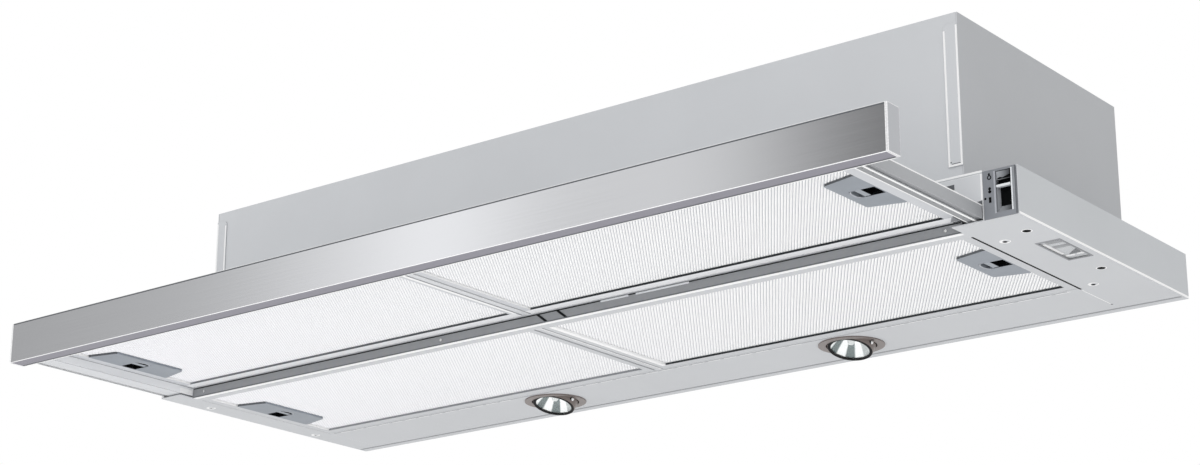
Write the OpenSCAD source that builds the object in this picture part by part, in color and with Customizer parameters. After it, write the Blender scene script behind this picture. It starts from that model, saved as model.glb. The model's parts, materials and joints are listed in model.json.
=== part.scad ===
// Pull-out range hood that hangs under a wall cabinet. Millimetres, +Z up, +X to the user's right.
// The origin is the centre of the four cabinet screw holes, on the top face of the lower body.

/* [Lower body] */
// Width of the lower body and of the front panel
hood_w = 898; // [890:0.5:1100]
// Depth of the lower body
base_d = 276.6; // [276:0.1:320]
// Height of the lower body
base_h = 37.5; // [37:0.1:45]
// Thickness of the steel sheet
sheet_t = 1; // [0.8:0.1:1.2]
// Thickness of the thin steel strips, lips and slides
thin_t = 0.8; // [0.6:0.1:0.9]

/* [Casing] */
// Distance of the casing's sides from the lower body's sides
casing_inset = 50.7; // [45:0.1:150]
// Distance of the casing's back from the lower body's back
casing_rear = 6.2; // [0:0.1:20]
// Height of the motor casing above the lower body
casing_h = 136.3; // [134:0.1:200]
// Distance of the casing's front from the lower body's front
casing_setback = 12.7; // [10:0.1:14]
// Width of the side plates' folded flange on the casing's front
flange_w = 12.5; // [8:0.1:20]
// Height of the flange's foot above the lower body
flange_foot = 13.7; // [5:0.1:30]
// Distance of the flange's head from the casing's top
flange_head = 8.7; // [4:0.1:20]
// Corner radius of the flange
flange_r = 4; // [1:0.5:6]
// Width of the lower body's rim inside the casing
rim_w = 25; // [15:1:40]

/* [Cabinet fixing] */
// Distance of the screw holes from the lower body's sides
fixing_edge = 16.1; // [14:0.1:19]
// Distance between the screw holes front to back
fixing_y = 117.5; // [80:0.1:140]
// Distance of the front screw holes from the lower body's front
fixing_inset = 39.8; // [30:0.1:60]
// Radius of the screw holes
fixing_r = 2.5; // [2:0.1:3]
// Radius of the screwdriver holes in the right end plate
access_r = 3; // [2.5:0.1:4]

/* [Underside] */
// Width of the right end plate
right_end_w = 56; // [54:0.1:60]
// Width of the left end plate
left_end_w = 25.5; // [25.5:0.1:40]
// Width of the rear strip between the filters and the lamps' trim rings
rear_strip_lip = 4; // [3:0.1:10]
// Distance of the crossbar from the lower body's front
crossbar_inset = 15.5; // [12:0.1:20]
// Depth of the crossbar
crossbar_d = 11.5; // [8:0.1:15]
// Height of the crossbar
crossbar_h = 8.8; // [8.6:0.1:8.9]
// Radius of the crossbar's rivet heads
rivet_r = 1.2; // [0.8:0.1:2]
// How far the rivet heads stand out
rivet_h = 0.5; // [0.3:0.1:1]
// Places of the rivets along the crossbar
rivet_shares = [0.018, 0.375, 0.983]; // [0:0.001:1]
// Width of the window in the right end plate
window_w = 21; // [15:0.5:24]
// Length of the window in the right end plate
window_l = 53.5; // [30:0.5:60]

/* [Filters] */
// Thickness of a filter cassette
filter_t = 8; // [7.5:0.1:8.2]
// Gap round a filter cassette
filter_gap = 0.3; // [0.2:0.1:0.5]
// Height of a cassette above the plane it closes
filter_rise = 0.2; // [0.1:0.1:0.3]
// Width of the cassette's border at its ends
border_end_w = 8; // [6:0.1:12]
// Width of the cassette's border at its long sides
border_side_w = 9; // [6:0.1:12]
// Thickness of the cassette's rolled edge
border_t = 1.8; // [1:0.1:1.9]
// Width of the bars between two cassettes
divider_w = 6; // [4:0.1:12]
// Place of the bars between the cassettes, from the hood's middle
divider_x = -20; // [-60:1:60]
// Thickness of one mesh layer
mesh_t = 0.8; // [0.5:0.1:1]
// Radius of the pivot studs
stud_r = 1.5; // [1.2:0.1:1.8]
// Running clearance of a pivot stud in its hole
stud_clear = 0.05; // [0.02:0.01:0.1]

/* [Filter handles] */
// Width of the handle plate
handle_w = 30; // [29:0.1:40]
// Length of the right handle plates, as a share of the rear cassettes' depth
handle_share_right = 0.431; // [0.35:0.001:0.5]
// Length of the left handle plates, as a share of the rear cassettes' depth
handle_share_left = 0.549; // [0.4:0.001:0.6]
// How much shorter the handle plate is at its inner edge
handle_taper = 15; // [5:0.1:25]
// Place of the handles' front end, as a share of a rear cassette's depth
handle_start_rear = 0.214; // [0.15:0.001:0.3]
// Place of the handles' front end, as a share of a front cassette's depth
handle_start_front = 0.241; // [0.15:0.001:0.35]
// Thickness of the handle plate
handle_t = 2; // [1.5:0.1:2.2]
// Width of the finger hole
finger_w = 11.8; // [10:0.1:13]
// Length of the finger hole
finger_l = 16; // [12:0.1:24]
// Width of the finger tab on the latch
tab_w = 5.2; // [4:0.1:6]
// Travel of the latch
latch_travel = 4; // [3:0.1:5]
// Thickness of the latch
latch_t = 2; // [1.5:0.1:2.2]
// Width of each latch tongue
tongue_w = 2; // [1.5:0.1:3]
// Running clearance of the latch
latch_clear = 0.3; // [0.2:0.1:0.4]
// Wall of the handle's finger pocket
pocket_t = 0.9; // [0.7:0.1:1.2]

/* [Drawer] */
// Distance of the pulled-out panel's back from the lower body's front
drawer_out = 162.2; // [100:0.1:164]
// Height of the drawer's underside above the hood's underside
drawer_rise = 9.3; // [9.2:0.1:9.6]
// Height of the drawer box
drawer_h = 14.5; // [13.5:0.1:16]
// How far the drawer reaches into the lower body when pulled out
drawer_reach = 34; // [30:0.1:35]
// Distance of the drawer's rear lip from the lower body's front when pulled out
drawer_lip = 13.3; // [5:0.1:13.5]
// How far the slides reach into the lower body when pulled out
slide_reach = 55; // [40:0.1:80]
// Height of the front panel
panel_h = 35.7; // [34:0.1:60]
// Thickness of the front panel
panel_t = 15.6; // [10:0.1:25]
// How far the panel hangs below the hood's underside
panel_drop = 2.7; // [0:0.1:10]
// Thickness of the panel's end caps
cap_t = 1.5; // [1:0.1:3]
// Gap behind the panel when the drawer is closed
closed_gap = 3; // [2.5:0.1:5]
// Width of the right slide
slide_w = 13.6; // [12:0.1:14]
// Height of the slides
slide_h = 10.8; // [10:0.1:11]
// Running clearance of the slides
slide_clear = 0.5; // [0.3:0.1:0.6]
// Width of the groove along the slides' underside
groove_w = 4.2; // [2:0.1:5]
// Radius of the small holes in the right slide's underside
slide_hole_r = 0.9; // [0.5:0.1:1.2]
// Places of the small holes along the right slide
slide_hole_shares = [0.07, 0.13, 0.5, 0.56, 0.7]; // [0:0.01:1]
// Width of the ledge between the right slide and the filters
ledge_w = 12; // [10:0.1:13]

/* [Lamps] */
// Distance between the two lamps
lamp_spacing = 325; // [200:1:500]
// Place of the middle between the lamps, from the hood's middle
lamp_mid_x = -2; // [-40:1:40]
// Distance of the lamps from the lower body's back
lamp_rear = 47.1; // [40:0.1:60]
// Outer radius of the lamp's trim ring
trim_r = 28.5; // [27:0.1:32]
// Radius of the swivelling lamp head
head_r = 21.6; // [20.5:0.1:22]
// Radius of the head's mouth
mouth_r = 18.2; // [16:0.1:18.5]
// How far the head leans forward, in degrees
lamp_lean = 16; // [0:1:20]
// Height of the lamp's pivot above the hood's underside
pivot_h = 4.5; // [3:0.1:6]
// Radius of the lamp's pivot pins
pivot_r = 1.5; // [1:0.1:2]
// Running clearance of the lamp's pivot pins
pivot_clear = 0.05; // [0.02:0.01:0.1]

/* [Controls] */
// Width of the control plate
bezel_w = 27.3; // [26:0.1:27.5]
// Distance of the control plate from the hood's right side
bezel_inset = 1.2; // [1.2:0.1:1.4]
// Depth of the control block
bezel_depth = 9; // [8:0.5:20]
// How far the control plate stands out
bezel_face = 0.8; // [0.5:0.1:1.5]
// Width of the switch slot
slot_w = 12.5; // [10:0.1:13]
// Height of the switch slot
slot_h = 31.2; // [28:0.1:31.2]
// Distance of the slot from the plate's right edge
slot_inset = 4.3; // [3:0.1:6]
// Travel of the fan switch
fan_travel = 18; // [8:0.1:18]
// Height of the fan switch
fan_h = 2.6; // [2:0.1:2.6]
// Travel of the light switch
light_travel = 3; // [2:0.1:3]
// Height of the light switch
light_h = 6.6; // [5:0.1:6.6]

/* [Duct and blower] */
// Outer radius of the duct collar
collar_r = 60; // [60:0.5:75]
// Height of the duct collar above the casing
collar_h = 24; // [20:0.5:60]
// Wall of the plastic mouldings
moulding_t = 1.5; // [1.2:0.1:2]
// Radius of the fan wheel
wheel_r = 44; // [42:0.5:45]
// Width of the fan wheel
wheel_w = 84; // [60:0.5:84]
// Number of blades on the fan wheel
blades = 28; // [18:1:36]
// Radius of the fan motor
motor_r = 30; // [24:0.5:30]
// Length of the fan motor
motor_l = 76; // [50:1:90]
// Radius of the motor shaft
shaft_r = 4; // [3:0.1:5]
// Height of the motor shaft above the lower body
shaft_z = 60; // [60:0.5:64]

/* [Hidden] */

// Overrun of every cut, and clearance of every fastener in its hole
over = 0.5;
fastener_clear = 0.05;
round_fn = 64;
small_fn = 32;

// Sizes that follow from the ones above
casing_w = hood_w - 2 * casing_inset;
casing_d = base_d - casing_setback - casing_rear;
fixing_x = hood_w - 2 * fixing_edge;
rear_strip_d = lamp_rear + trim_r + rear_strip_lip;

// Places of the lower body
right_x = hood_w / 2;
left_x = -hood_w / 2;
front_y = -(fixing_inset + fixing_y / 2);
back_y = front_y + base_d;
floor_z = -base_h;
right_edge_x = right_x - right_end_w;
left_edge_x = left_x + left_end_w;
crossbar_y = front_y + crossbar_inset;
crossbar_back_y = crossbar_y + crossbar_d;
strip_y = back_y - rear_strip_d;

// Places of the casing
casing_x = casing_w / 2;
casing_front_y = front_y + casing_setback;
casing_back_y = casing_front_y + casing_d;
casing_mid_y = casing_front_y + casing_d / 2;
lug_w = 3;

// Places of the drawer
drawer_z = floor_z + drawer_rise;
drawer_top_z = drawer_z + drawer_h;
cover_z = drawer_top_z - sheet_t;
drawer_end_y = front_y + drawer_reach;
panel_back_y = front_y - drawer_out;
panel_front_y = panel_back_y - panel_t;
panel_z = floor_z - panel_drop;
slide_z = floor_z + 2 * thin_t + slide_clear;
slide_top_z = slide_z + slide_h;
slide_in_x = right_edge_x + ledge_w;
slide_right_x = slide_in_x + slide_w;
slide_left_x = left_x + sheet_t + slide_clear + thin_t + slide_clear;
lip_h = 8.5;
post_w = 6;
post_inset = 4;

// Openings in the lower body's front wall
opening_side = 2.2;
opening_top = 6.2;
slot_gap = 1.6;

// Cassettes, each drawn from its pivot end at the divider
cassette_inner = divider_w / 2 + filter_gap;
right_len = right_edge_x - filter_gap - divider_x - cassette_inner;
left_len = divider_x - cassette_inner - left_edge_x - filter_gap;
rear_dep = strip_y - crossbar_back_y - 2 * filter_gap;
front_dep = drawer_out + drawer_lip - thin_t - 2 * filter_gap;
handle_right = handle_share_right * rear_dep;
handle_left = handle_share_left * rear_dep;
rear_mid_right = handle_start_rear * rear_dep + handle_right / 2;
rear_mid_left = handle_start_rear * rear_dep + handle_left / 2;
front_mid_right = handle_start_front * front_dep + handle_right / 2;
front_mid_left = handle_start_front * front_dep + handle_left / 2;
rear_filter_y = crossbar_back_y + filter_gap;
front_filter_y = panel_back_y + thin_t + filter_gap;
stud_in = 1.5 * stud_r;
stud_reach = filter_gap + 0.6 * thin_t;

// Handle, finger pocket and latch, counted inwards from the handle's outer edge
finger_out = pocket_t + filter_gap;
finger_in = finger_out + finger_w;
tab_in = finger_in + tab_w;
slot_in = tab_in + latch_travel + latch_clear;
pocket_in = slot_in + pocket_t;
tongue_y = finger_l / 2 + latch_clear;
pocket_y = tongue_y + tongue_w + latch_clear;
latch_z = handle_t + latch_clear;
pocket_top = filter_t - filter_gap;
tongue_back = filter_gap / 3;

// Lamps
lamp_y = back_y - lamp_rear;
trim_t = 1;
sleeve_t = 1.2;
sleeve_h = 14;
head_gap = 0.4;
head_t = 1;
head_top = 12;
sleeve_r = head_r + head_gap + sleeve_t;
mouth_z = -sqrt(pow(head_r, 2) - pow(mouth_r + head_t, 2));
lens_t = 1;
lens_inset = 1.2;
lens_z = mouth_z + lens_inset;
bowl_z = lens_z + lens_t;
bowl_depth = 15;
bowl_t = 0.8;
bowl_open_share = 0.92;
neck_r = 5;
arc_steps = 14;

// Controls
bezel_right_x = right_x - bezel_inset;
bezel_left_x = bezel_right_x - bezel_w;
bezel_rim = 0.1;
slot_right_x = bezel_right_x - slot_inset;
slot_left_x = slot_right_x - slot_w;
slot_top_z = -2 * sheet_t;
slot_foot_z = slot_top_z - slot_h;
switch_clear = 0.3;
switch_depth = 5;
guide_y = 2.5;
guide_w = 0.8;
dish_share = 0.8;

// Window in the right end plate
window_right_x = right_x - 5.5 * sheet_t;
window_y = front_y + fixing_inset + 30.7 * sheet_t;
window_t = 1.4;

// Screws under the end plates
screw_edge = 14.75;
screw_head_r = 2.4;
screw_head_t = 0.7;
screw_r = 1.2;
screw_inset_shares = [0.19, 0.697];

// Blower
wheel_gap = 4;
housing_w = wheel_w + 2 * wheel_gap + 2 * moulding_t;
inlet_r = wheel_r - 7.5;
scroll_r = wheel_r + 5;
scroll_growth = 17;
scroll_steps = 40;
scroll_end = 390;
neck_half = 32;
duct_hole_r = collar_r - 2 * moulding_t;
collar_flange = 8;
disc_t = 2;
blade_t = 1;
blade_d = 6.5;
blade_lean = 28;
hub_r = 2.4 * shaft_r;
hub_w = 14;
shaft_clear = 0.05;
motor_x = -6;
arm_w = 8;
arm_t = 2;
flap_t = 1.2;
flap_gap = 1;
flap_rise = 6;
hinge_r = 1.5;
hinge_clear = 0.06;
hinge_offset = 3;

// Electrics
box_w = 46;
box_d = 70;
box_h = 34;
gland_r = 8;
gland_bore_r = 4;
gland_drop = 5;
gland_x = casing_x - sheet_t - box_w / 2;
gland_y = casing_back_y - sheet_t - box_d / 2;
box_top_z = casing_h - sheet_t - gland_drop;
ballast_w = 110;
ballast_d = 44;
ballast_h = 28;
ballast_foot = 8;
ballast_foot_t = 2;
ballast_y = back_y - sheet_t - ballast_d - 16;

// Box between two corners
module block(lo, hi) {
    translate(lo) cube(hi - lo);
}

// Cylinders along X, Y and Z that start at a point
module rod_x(x, y, z, r, len) {
    translate([x, y, z]) rotate([0, 90, 0]) cylinder(r = r, h = len, $fn = small_fn);
}
module rod_y(x, y, z, r, len) {
    translate([x, y, z]) rotate([-90, 0, 0]) cylinder(r = r, h = len, $fn = small_fn);
}
module rod_z(x, y, z, r, len) {
    translate([x, y, z]) cylinder(r = r, h = len, $fn = round_fn);
}

// Mirrors its children to the left for side -1
module on_side(side) {
    mirror([side < 0 ? 1 : 0, 0, 0]) children();
}

// Casing: front, top and back in one folded sheet
module casing_shell() {
    x = casing_x - sheet_t;
    cut_z = casing_h - sheet_t - over;
    cut_h = sheet_t + 2 * over;
    color("gainsboro") difference() {
        block([-x, casing_front_y, 0], [x, casing_back_y, casing_h]);
        block(
            [-x - over, casing_front_y + sheet_t, -over],
            [x + over, casing_back_y - sheet_t, casing_h - sheet_t]
        );
        rod_z(0, casing_mid_y, cut_z, duct_hole_r, cut_h);
        rod_z(gland_x, gland_y, cut_z, gland_r + fastener_clear, cut_h);
    }
}

// Side plate of the casing, with the flange folded over the front and a lug at the back
module casing_side(side) {
    flange_x = casing_x - flange_w;
    flange_y = casing_front_y - thin_t;
    flange_top = casing_h - flange_head;
    color("silver") on_side(side) {
        block([casing_x - sheet_t, casing_front_y, 0], [casing_x, casing_back_y, casing_h]);
        difference() {
            block([flange_x, flange_y, flange_foot], [casing_x, casing_front_y, flange_top]);
            difference() {
                block(
                    [flange_x - over, flange_y - over, flange_top - flange_r],
                    [flange_x + flange_r, casing_front_y + over, flange_top + over]
                );
                rod_y(
                    flange_x + flange_r, flange_y - 2 * over, flange_top - flange_r,
                    flange_r, thin_t + 4 * over
                );
            }
        }
        block([casing_x - lug_w, casing_back_y, 0], [casing_x, casing_back_y + lug_w, lug_w]);
    }
}

// Lower body: top face with the casing's opening, sides and back
module base_frame() {
    rim_x = casing_x - rim_w;
    color("lightgray") difference() {
        block([left_x, front_y, floor_z], [right_x, back_y, 0]);
        block(
            [left_x + sheet_t, front_y - over, floor_z - over],
            [right_x - sheet_t, back_y - sheet_t, -sheet_t]
        );
        block(
            [-rim_x, casing_front_y + rim_w / 2, -sheet_t - over],
            [rim_x, casing_back_y - rim_w / 2, over]
        );
        for (sx = [-1, 1], sy = [-1, 1])
            rod_z(
                sx * fixing_x / 2, sy * fixing_y / 2, -sheet_t - over,
                fixing_r, sheet_t + 2 * over
            );
    }
}

// Front wall of the lower body, open for the drawer, its slides and the control block
module base_front() {
    cut_y = front_y - over;
    end_y = front_y + sheet_t + over;
    color("white") difference() {
        block(
            [left_x + sheet_t, front_y, floor_z + thin_t],
            [right_x - sheet_t, front_y + sheet_t, -sheet_t]
        );
        block(
            [left_edge_x - thin_t - opening_side, cut_y, floor_z],
            [right_edge_x + thin_t + opening_side, end_y, -opening_top]
        );
        block(
            [slide_left_x - slide_clear, cut_y, floor_z],
            [slide_right_x + slide_clear, end_y, slide_top_z + slot_gap]
        );
        block([bezel_left_x - switch_clear, cut_y, floor_z], [right_x, end_y, over]);
    }
}

function screw_x(side) = side > 0 ? right_edge_x + screw_edge : left_edge_x - screw_edge;

// Holes for the screws of an end plate, through the plate and the channel's foot
module screw_holes(side) {
    for (share = screw_inset_shares)
        rod_z(
            screw_x(side), front_y + share * base_d, floor_z - over,
            screw_r + fastener_clear, 2 * thin_t + 2 * over
        );
}

// Underside plate at the right end, with screwdriver holes and a window
module end_plate_right() {
    color("lightgray") difference() {
        block(
            [right_edge_x, front_y, floor_z],
            [right_x - sheet_t, back_y - sheet_t, floor_z + thin_t]
        );
        for (sy = [-1, 1])
            rod_z(fixing_x / 2, sy * fixing_y / 2, floor_z - over, access_r, thin_t + 2 * over);
        block(
            [window_right_x - window_w, window_y, floor_z - over],
            [window_right_x, window_y + window_l, floor_z + thin_t + over]
        );
        screw_holes(1);
    }
}

// Underside plate at the left end
module end_plate_left() {
    color("lightgray") difference() {
        block(
            [left_x + sheet_t, front_y, floor_z],
            [left_edge_x, back_y - sheet_t, floor_z + thin_t]
        );
        screw_holes(-1);
    }
}

// Holes for the pivot studs of both cassettes of a row, in a lip that starts at y
module stud_holes(y, z) {
    for (side = [-1, 1])
        rod_y(
            divider_x + side * (cassette_inner + stud_in), y - over, z + filter_rise + stud_in,
            stud_r + stud_clear, thin_t + 2 * over
        );
}

// Rear strip of the underside, with two lamp holes and the lip that carries the filters
module rear_strip() {
    color("lightgray") difference() {
        union() {
            block(
                [left_edge_x, strip_y, floor_z],
                [right_edge_x, back_y - sheet_t, floor_z + thin_t]
            );
            block(
                [left_edge_x, strip_y, floor_z],
                [right_edge_x, strip_y + thin_t, floor_z + crossbar_h]
            );
        }
        for (side = [-1, 1])
            at_lamp(side) rod_z(0, 0, -over, sleeve_r + fastener_clear, thin_t + 2 * over);
        stud_holes(strip_y, floor_z);
    }
}

// Shank of a rivet in the crossbar's front
module rivet_shank(share, clear) {
    rod_y(
        left_edge_x + share * (right_edge_x - left_edge_x), crossbar_y - clear,
        floor_z + crossbar_h / 2, rivet_r / 2 + clear, thin_t + 2 * clear
    );
}

// Crossbar in front of the rear filters: a channel with a high front
module filter_crossbar() {
    color("dimgray") difference() {
        block(
            [left_edge_x, crossbar_y, floor_z],
            [right_edge_x, crossbar_back_y, floor_z + crossbar_h]
        );
        block(
            [left_edge_x - over, crossbar_y + thin_t, floor_z + thin_t],
            [right_edge_x + over, crossbar_back_y - thin_t, floor_z + crossbar_h + over]
        );
        stud_holes(crossbar_back_y - thin_t, floor_z);
        for (share = rivet_shares) rivet_shank(share, fastener_clear);
    }
}

module crossbar_rivets() {
    color("silver") for (share = rivet_shares) {
        rivet_shank(share, 0);
        rod_y(
            left_edge_x + share * (right_edge_x - left_edge_x), crossbar_y - rivet_h,
            floor_z + crossbar_h / 2, rivet_r, rivet_h
        );
    }
}

// Bar between the two cassettes of a row
module divider(y0, y1, z0, z1) {
    color("lightgray") block(
        [divider_x - divider_w / 2, y0, z0],
        [divider_x + divider_w / 2, y1, z1]
    );
}

module rear_divider() {
    divider(crossbar_back_y, strip_y, floor_z, floor_z + filter_t);
}

// Fixed channel that a slide runs in: foot, outer web and top flange
module slide_channel(inner_x, outer_x, side) {
    foot_z = floor_z + thin_t;
    top_z = slide_top_z + slide_clear;
    cut_in = side > 0 ? inner_x - over : outer_x + thin_t;
    cut_out = side > 0 ? outer_x - thin_t : inner_x + over;
    color("darkgray") difference() {
        block(
            [min(inner_x, outer_x), front_y + sheet_t, foot_z],
            [max(inner_x, outer_x), back_y - sheet_t, top_z + thin_t]
        );
        block([cut_in, front_y, foot_z + thin_t], [cut_out, back_y, top_z]);
        screw_holes(side);
    }
}

module slide_channel_right() {
    slide_channel(slide_in_x + slide_clear, slide_right_x + slide_clear + thin_t, 1);
}

module slide_channel_left() {
    slide_channel(left_edge_x - thin_t - slide_clear, slide_left_x - slide_clear - thin_t, -1);
}

// Screws that hold the end plates to the channels
module plate_screws() {
    color("silver") for (side = [-1, 1], share = screw_inset_shares) {
        y = front_y + share * base_d;
        rod_z(screw_x(side), y, floor_z - screw_head_t, screw_head_r, screw_head_t);
        rod_z(screw_x(side), y, floor_z - screw_head_t, screw_r, screw_head_t + 2 * thin_t);
    }
}

// Clear cover with a cable clip on its inner side, in the right end plate's window
module window_cover() {
    z0 = floor_z + thin_t - window_t / 2;
    x0 = window_right_x - window_w;
    color("lightsteelblue") {
        block([x0, window_y, z0], [window_right_x, window_y + window_l, z0 + window_t]);
        block(
            [x0 + window_w / 2, window_y + window_l / 2, z0 + window_t],
            [x0 + 0.75 * window_w, window_y + 0.75 * window_l, z0 + 3 * window_t]
        );
    }
}

// Control block with the slot that both switches show in
module control_bezel() {
    slot_back = front_y - bezel_face + switch_depth + 2 * switch_clear;
    color("slategray") difference() {
        union() {
            block(
                [bezel_left_x, front_y - bezel_face, floor_z + bezel_rim],
                [bezel_right_x, front_y, -bezel_rim]
            );
            block(
                [bezel_left_x, front_y, floor_z + thin_t],
                [bezel_right_x, front_y + bezel_depth, -sheet_t]
            );
        }
        block(
            [slot_left_x, front_y - bezel_face - over, slot_foot_z],
            [slot_right_x, slot_back, slot_top_z]
        );
        block(
            [slot_left_x - guide_w, front_y + guide_y, slot_foot_z],
            [slot_right_x + guide_w, slot_back, slot_top_z]
        );
    }
}

// Sliding switch: a dished pad in the slot, with a guide that runs behind the plate
module slide_switch(z, h) {
    x0 = slot_left_x + switch_clear;
    x1 = slot_right_x - switch_clear;
    y0 = front_y - bezel_face;
    guide_out = guide_w - switch_clear;
    color("slategray") {
        difference() {
            block([x0, y0, z], [x1, y0 + switch_depth, z + h]);
            rod_x(x0 - over, y0 - dish_share * h, z + h / 2, h, x1 - x0 + 2 * over);
        }
        block(
            [slot_left_x - guide_out, front_y + guide_y + switch_clear, z],
            [slot_right_x + guide_out, y0 + switch_depth, z + h]
        );
    }
}

module light_switch() {
    slide_switch(slot_top_z - switch_clear - light_h, light_h);
}

module fan_switch() {
    slide_switch(slot_foot_z + switch_clear + fan_travel, fan_h);
}

// Round collar for the duct, with its flange on the casing and the holes for the flaps' pins
module duct_collar() {
    color("dimgray") difference() {
        union() {
            rod_z(0, casing_mid_y, casing_h, collar_r, collar_h);
            rod_z(0, casing_mid_y, casing_h, collar_r + collar_flange, moulding_t);
        }
        rod_z(0, casing_mid_y, casing_h - over, collar_r - moulding_t, collar_h + 2 * over);
        for (sy = [-1, 1])
            rod_x(
                -collar_r - over, casing_mid_y + sy * hinge_offset, casing_h + flap_rise,
                hinge_r + hinge_clear, 2 * (collar_r + over)
            );
    }
}

// Half-round flap that swings up about its straight edge and falls shut by its weight
module check_flap(side) {
    r = collar_r - moulding_t - flap_gap;
    y = casing_mid_y + side * hinge_offset;
    z = casing_h + flap_rise;
    pin_x = collar_r - moulding_t / 2;
    color("dimgray") {
        intersection() {
            rod_z(0, casing_mid_y, z - flap_t / 2, r, flap_t);
            block([-r, min(y, y + side * r), z - flap_t], [r, max(y, y + side * r), z + flap_t]);
        }
        rod_x(-pin_x, y, z, hinge_r, 2 * pin_x);
    }
}

module check_flap_front() {
    check_flap(-1);
}

module check_flap_rear() {
    check_flap(1);
}

// Outline of the scroll: a spiral that grows from the neck's front wall round to its rear wall
function scroll(inset, top) =
    let (
        half = neck_half - inset,
        start = acos(-half / (scroll_r - inset)),
        turn = scroll_end - start
    )
    concat(
        [for (i = [0:scroll_steps])
            let (r = scroll_r - inset + scroll_growth * i / scroll_steps,
                a = start + turn * i / scroll_steps)
            [r * cos(a), r * sin(a)]],
        [[half, scroll_r], [half, top], [-half, top]]
    );

// Scroll of width w, centred on the hood's middle
module scroll_body(inset, top, w) {
    translate([-w / 2, casing_mid_y, shaft_z]) rotate([90, 0, 90])
        linear_extrude(height = w) polygon(scroll(inset, top));
}

// Blower housing: a scroll with an inlet at each side and a flange under the duct collar
module blower_housing() {
    top = casing_h - sheet_t - shaft_z;
    inner_w = housing_w - 2 * moulding_t;
    flange_half = collar_r + collar_flange;
    color("gray") difference() {
        union() {
            scroll_body(0, top, housing_w);
            translate([0, casing_mid_y, casing_h - sheet_t - moulding_t])
                block([-flange_half, -flange_half, 0], [flange_half, flange_half, moulding_t]);
        }
        scroll_body(moulding_t, top + over, inner_w);
        rod_x(-housing_w / 2 - over, casing_mid_y, shaft_z, inlet_r, housing_w + 2 * over);
    }
}

// Fan wheel: blades between two rings, with a middle disc, hub and shaft
module fan_wheel() {
    blade_mid = wheel_r - 0.55 * blade_d;
    color("dimgray") translate([0, casing_mid_y, shaft_z]) {
        for (x = [-wheel_w / 2, wheel_w / 2 - disc_t])
            difference() {
                rod_x(x, 0, 0, wheel_r, disc_t);
                rod_x(x - over, 0, 0, wheel_r - blade_d, disc_t + 2 * over);
            }
        for (i = [0:blades - 1])
            rotate([360 * i / blades, 0, 0]) translate([0, 0, blade_mid]) rotate([blade_lean, 0, 0])
                cube([wheel_w - disc_t, blade_t, 0.8 * blade_d], center = true);
        rod_x(-disc_t / 2, 0, 0, wheel_r - blade_d / 3, disc_t);
        rod_x(-disc_t / 2, 0, 0, hub_r, hub_w);
        rod_x(motor_x - motor_l, 0, 0, shaft_r, motor_l - motor_x + hub_w);
    }
}

// Motor in the left inlet, carried by three arms on the scroll's side
module fan_motor() {
    face_x = -housing_w / 2;
    color("dimgray") translate([0, casing_mid_y, shaft_z]) difference() {
        union() {
            rod_x(motor_x - motor_l, 0, 0, motor_r, motor_l);
            for (a = [90, 210, 330])
                rotate([a, 0, 0])
                    block([face_x - arm_t, -arm_w / 2, 0], [face_x, arm_w / 2, inlet_r + arm_w]);
        }
        rod_x(motor_x - motor_l - over, 0, 0, shaft_r + shaft_clear, motor_l + 2 * over);
    }
}

// Box that the mains cable is wired in, fixed in the casing's right rear corner
module terminal_box() {
    x1 = casing_x - sheet_t;
    y1 = casing_back_y - sheet_t;
    z0 = box_top_z - box_h;
    color("darkslategray") difference() {
        block([x1 - box_w, y1 - box_d, z0], [x1, y1, box_top_z]);
        block(
            [x1 - box_w + moulding_t, y1 - box_d + moulding_t, z0 + moulding_t],
            [x1 - moulding_t, y1 - moulding_t, box_top_z - moulding_t]
        );
        rod_z(
            gland_x, gland_y, box_top_z - moulding_t - over,
            gland_r + fastener_clear, moulding_t + 2 * over
        );
    }
}

// Bushing in the casing's top where the mains cable comes in
module cable_gland() {
    z0 = box_top_z - moulding_t;
    color("dimgray") difference() {
        union() {
            rod_z(gland_x, gland_y, z0, gland_r, casing_h + moulding_t - z0);
            rod_z(gland_x, gland_y, casing_h, gland_r + 2 * moulding_t, moulding_t);
        }
        rod_z(gland_x, gland_y, z0 - over, gland_bore_r, casing_h + moulding_t - z0 + 2 * over);
    }
}

// Transformer of the lamps, on the rear strip between them
module lamp_transformer() {
    z0 = floor_z + thin_t;
    x = ballast_w / 2;
    color("dimgray") {
        block(
            [lamp_mid_x - x, ballast_y, z0],
            [lamp_mid_x + x, ballast_y + ballast_d, z0 + ballast_h]
        );
        block(
            [lamp_mid_x - x - ballast_foot, ballast_y + ballast_d / 4, z0],
            [lamp_mid_x + x + ballast_foot, ballast_y + 0.75 * ballast_d, z0 + ballast_foot_t]
        );
    }
}

// Places its children at one of the lamps, at the underside
module at_lamp(side) {
    translate([lamp_mid_x + side * lamp_spacing / 2, lamp_y, floor_z]) children();
}

// Places its children on the leaning axis of one of the lamp heads
module at_head(side) {
    at_lamp(side) translate([0, 0, pivot_h]) rotate([-lamp_lean, 0, 0]) children();
}

// Fixed ring of a lamp, with the sleeve that carries the pivot pins
module lamp_trim(side) {
    color("rosybrown") at_lamp(side) difference() {
        union() {
            rod_z(0, 0, -trim_t, trim_r, trim_t);
            rod_z(0, 0, -trim_t, sleeve_r, trim_t + sleeve_h);
        }
        rod_z(0, 0, -trim_t - over, head_r + head_gap, trim_t + sleeve_h + 2 * over);
        rod_x(-sleeve_r - over, 0, pivot_h, pivot_r + pivot_clear, 2 * (sleeve_r + over));
    }
}

// Points on an arc of radius r, as distances from the head's axis and heights
function head_arc(r, z0, z1) =
    [for (i = [0:arc_steps]) let (z = z0 + (z1 - z0) * i / arc_steps) [sqrt(pow(r, 2) - pow(z, 2)), z]];

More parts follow.
